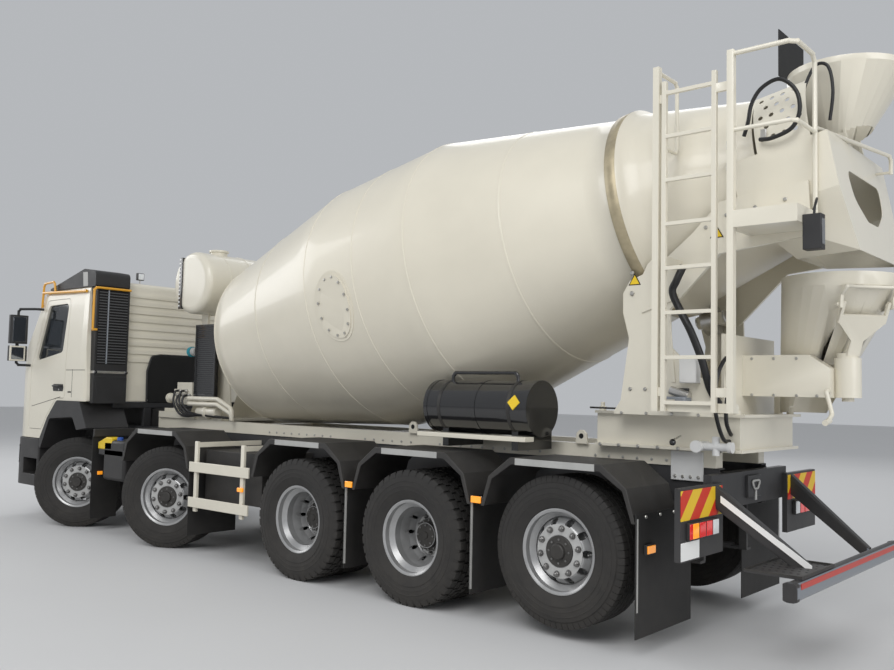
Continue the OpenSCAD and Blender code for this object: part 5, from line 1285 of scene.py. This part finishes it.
# Stage: pale floor, level soft light and the photograph's camera
def build_stage(floor_tone):
    scene = bpy.context.scene
    scene.view_settings.view_transform = "Standard"
    mesh = bpy.data.meshes.new("floor")
    bm = bmesh.new()
    bmesh.ops.create_grid(bm, x_segments=1, y_segments=1, size=60)
    bm.to_mesh(mesh)
    bm.free()
    floor = bpy.data.objects.new("floor", mesh)
    scene.collection.objects.link(floor)
    mesh.materials.append(finish("floor_paint", (floor_tone,) * 3, rough=0.85, tone=0.015, tone_size=0.4))
    world = bpy.data.worlds.new("sky") if scene.world is None else scene.world
    scene.world = world
    world.use_nodes = True
    back_light = world.node_tree.nodes["Background"]
    back_light.inputs["Color"].default_value = (0.93, 0.96, 1.0, 1)
    back_light.inputs["Strength"].default_value = 0.5
    for name, place, aim, energy, size in (
            ("key", (-7.0, 14.0, 13.0), (0, 0, 1.5), 1500, 10.0),
            ("fill", (-16.0, 4.0, 6.0), (-2, 0, 1.5), 520, 8.0),
            ("far", (6.0, -14.0, 12.0), (0, 0, 1.5), 650, 10.0),
            ("front", (16.0, 6.0, 8.0), (4, 0, 1.5), 650, 8.0)):
        light = bpy.data.lights.new(name, "AREA")
        light.energy = energy
        light.size = size
        obj = bpy.data.objects.new(name, light)
        scene.collection.objects.link(obj)
        obj.location = place
        obj.rotation_euler = (Vector(aim) - Vector(place)).to_track_quat("-Z", "Y").to_euler()
    yaw, pitch, roll = -0.861885, 0.063439, 0.020876
    ahead = Vector((math.cos(yaw) * math.cos(pitch), math.sin(yaw) * math.cos(pitch), math.sin(pitch)))
    right = Vector((math.sin(yaw), -math.cos(yaw), 0))
    up = right.cross(ahead)
    turned = math.cos(roll) * right + math.sin(roll) * up
    turned_up = math.cos(roll) * up - math.sin(roll) * right
    camera = bpy.data.objects.new("camera", bpy.data.cameras.new("camera"))
    scene.collection.objects.link(camera)
    camera.data.lens = 36.32
    camera.data.sensor_width = 36
    camera.data.clip_end = 200
    camera.matrix_world = Matrix.Translation((-6.7606, 6.5460, 1.6967)) @ Matrix(
        (turned, turned_up, -ahead)).transposed().to_4x4()
    scene.camera = camera


# Add-on
def millimetres(name, text, value):
    return bpy.props.FloatProperty(name=name, description=text, default=value, min=0.0, unit="LENGTH",
                                   subtype="DISTANCE")


class MixerSizes(bpy.types.PropertyGroup):
    """Sizes and tones of the dressing."""
    groove: millimetres("Tread depth", "Depth of the grooves in the tyres' tread", 0.013)
    nuts: bpy.props.IntProperty(name="Wheel nuts", description="Nuts on every wheel", default=10,
                                min=4, max=12)
    seam: millimetres("Seam width", "Width of the cab's panel seams", 0.006)
    plate: millimetres("Plate height", "Height of the light plates on the fenders' edges", 0.05)
    strap: millimetres("Strap width", "Width of the additive tank's straps", 0.03)
    weld: millimetres("Weld height", "Height of the drum's ring seams", 0.0035)
    hose: millimetres("Hose radius", "Radius of the hydraulic hoses", 0.014)
    stripe: millimetres("Stripe height", "Height of the rear guard's red stripe", 0.035)
    floor: bpy.props.FloatProperty(name="Floor tone", description="Brightness of the floor", default=0.62,
                                   min=0, max=1, subtype="FACTOR")


class MixerOperator:
    bl_options = {"REGISTER", "UNDO"}

    def execute(self, context):
        self.build(context.scene.mixer_sizes)
        return {"FINISHED"}


def operator(idname, label, text, build):
    """Makes the operator class of one group of pieces."""
    return type("MIXER_OT_" + idname, (MixerOperator, bpy.types.Operator), {
        "bl_idname": "mixer." + idname, "bl_label": label, "__doc__": text,
        "build": lambda self, sizes: build(sizes)})


OPERATORS = (
    operator("stage", "Stage", "Sets the floor, the lights and the camera", lambda s: build_stage(s.floor)),
    operator("finishes", "Finishes", "Gives the frame's nodes their finishes and softened edges",
             lambda s: build_finishes()),
    operator("tyres", "Tyres", "Replaces the plain tyres by treaded ones", lambda s: build_tyres(s.groove)),
    operator("wheels", "Wheel fittings", "Adds nuts, hubs, rings and valves",
             lambda s: build_wheel_fittings(s.nuts)),
    operator("cab", "Cab fittings", "Adds seams, handles, louvres, lamps and tubes to the cab",
             lambda s: build_cab(s.seam)),
    operator("chassis", "Chassis fittings", "Adds fender plates, flap strips, bolts and lifting eyes",
             lambda s: build_chassis(s.plate)),
    operator("tanks", "Tank fittings", "Dresses the tanks, the cooler and the valve box",
             lambda s: build_tanks(s.strap)),
    operator("drum", "Drum fittings", "Adds the drum's seams and hatch", lambda s: build_drum(s.weld)),
    operator("rear", "Rear fittings", "Adds hoses, levers, signs and pins at the rear",
             lambda s: build_rear(s.hose)),
    operator("tail", "Tail fittings", "Adds boards, lenses, plate, hook and stripe",
             lambda s: build_tail(s.stripe)),
)


class MIXER_PT_dressing(bpy.types.Panel):
    """Sizes and steps of the dressing."""
    bl_label = "Mixer dressing"
    bl_idname = "MIXER_PT_dressing"
    bl_space_type = "VIEW_3D"
    bl_region_type = "UI"
    bl_category = "Mixer"

    def draw(self, context):
        for name in MixerSizes.__annotations__:
            self.layout.prop(context.scene.mixer_sizes, name)
        for cls in OPERATORS:
            self.layout.operator(cls.bl_idname)


CLASSES = (MixerSizes, *OPERATORS, MIXER_PT_dressing)


def register():
    for cls in CLASSES:
        bpy.utils.register_class(cls)
    bpy.types.Scene.mixer_sizes = bpy.props.PointerProperty(type=MixerSizes)


def unregister():
    del bpy.types.Scene.mixer_sizes
    for cls in reversed(CLASSES):
        bpy.utils.unregister_class(cls)


def main():
    register()
    make_finishes()
    for cls in OPERATORS:
        getattr(bpy.ops.mixer, cls.bl_idname.split(".")[1])()


if __name__ == "__main__":
    main()
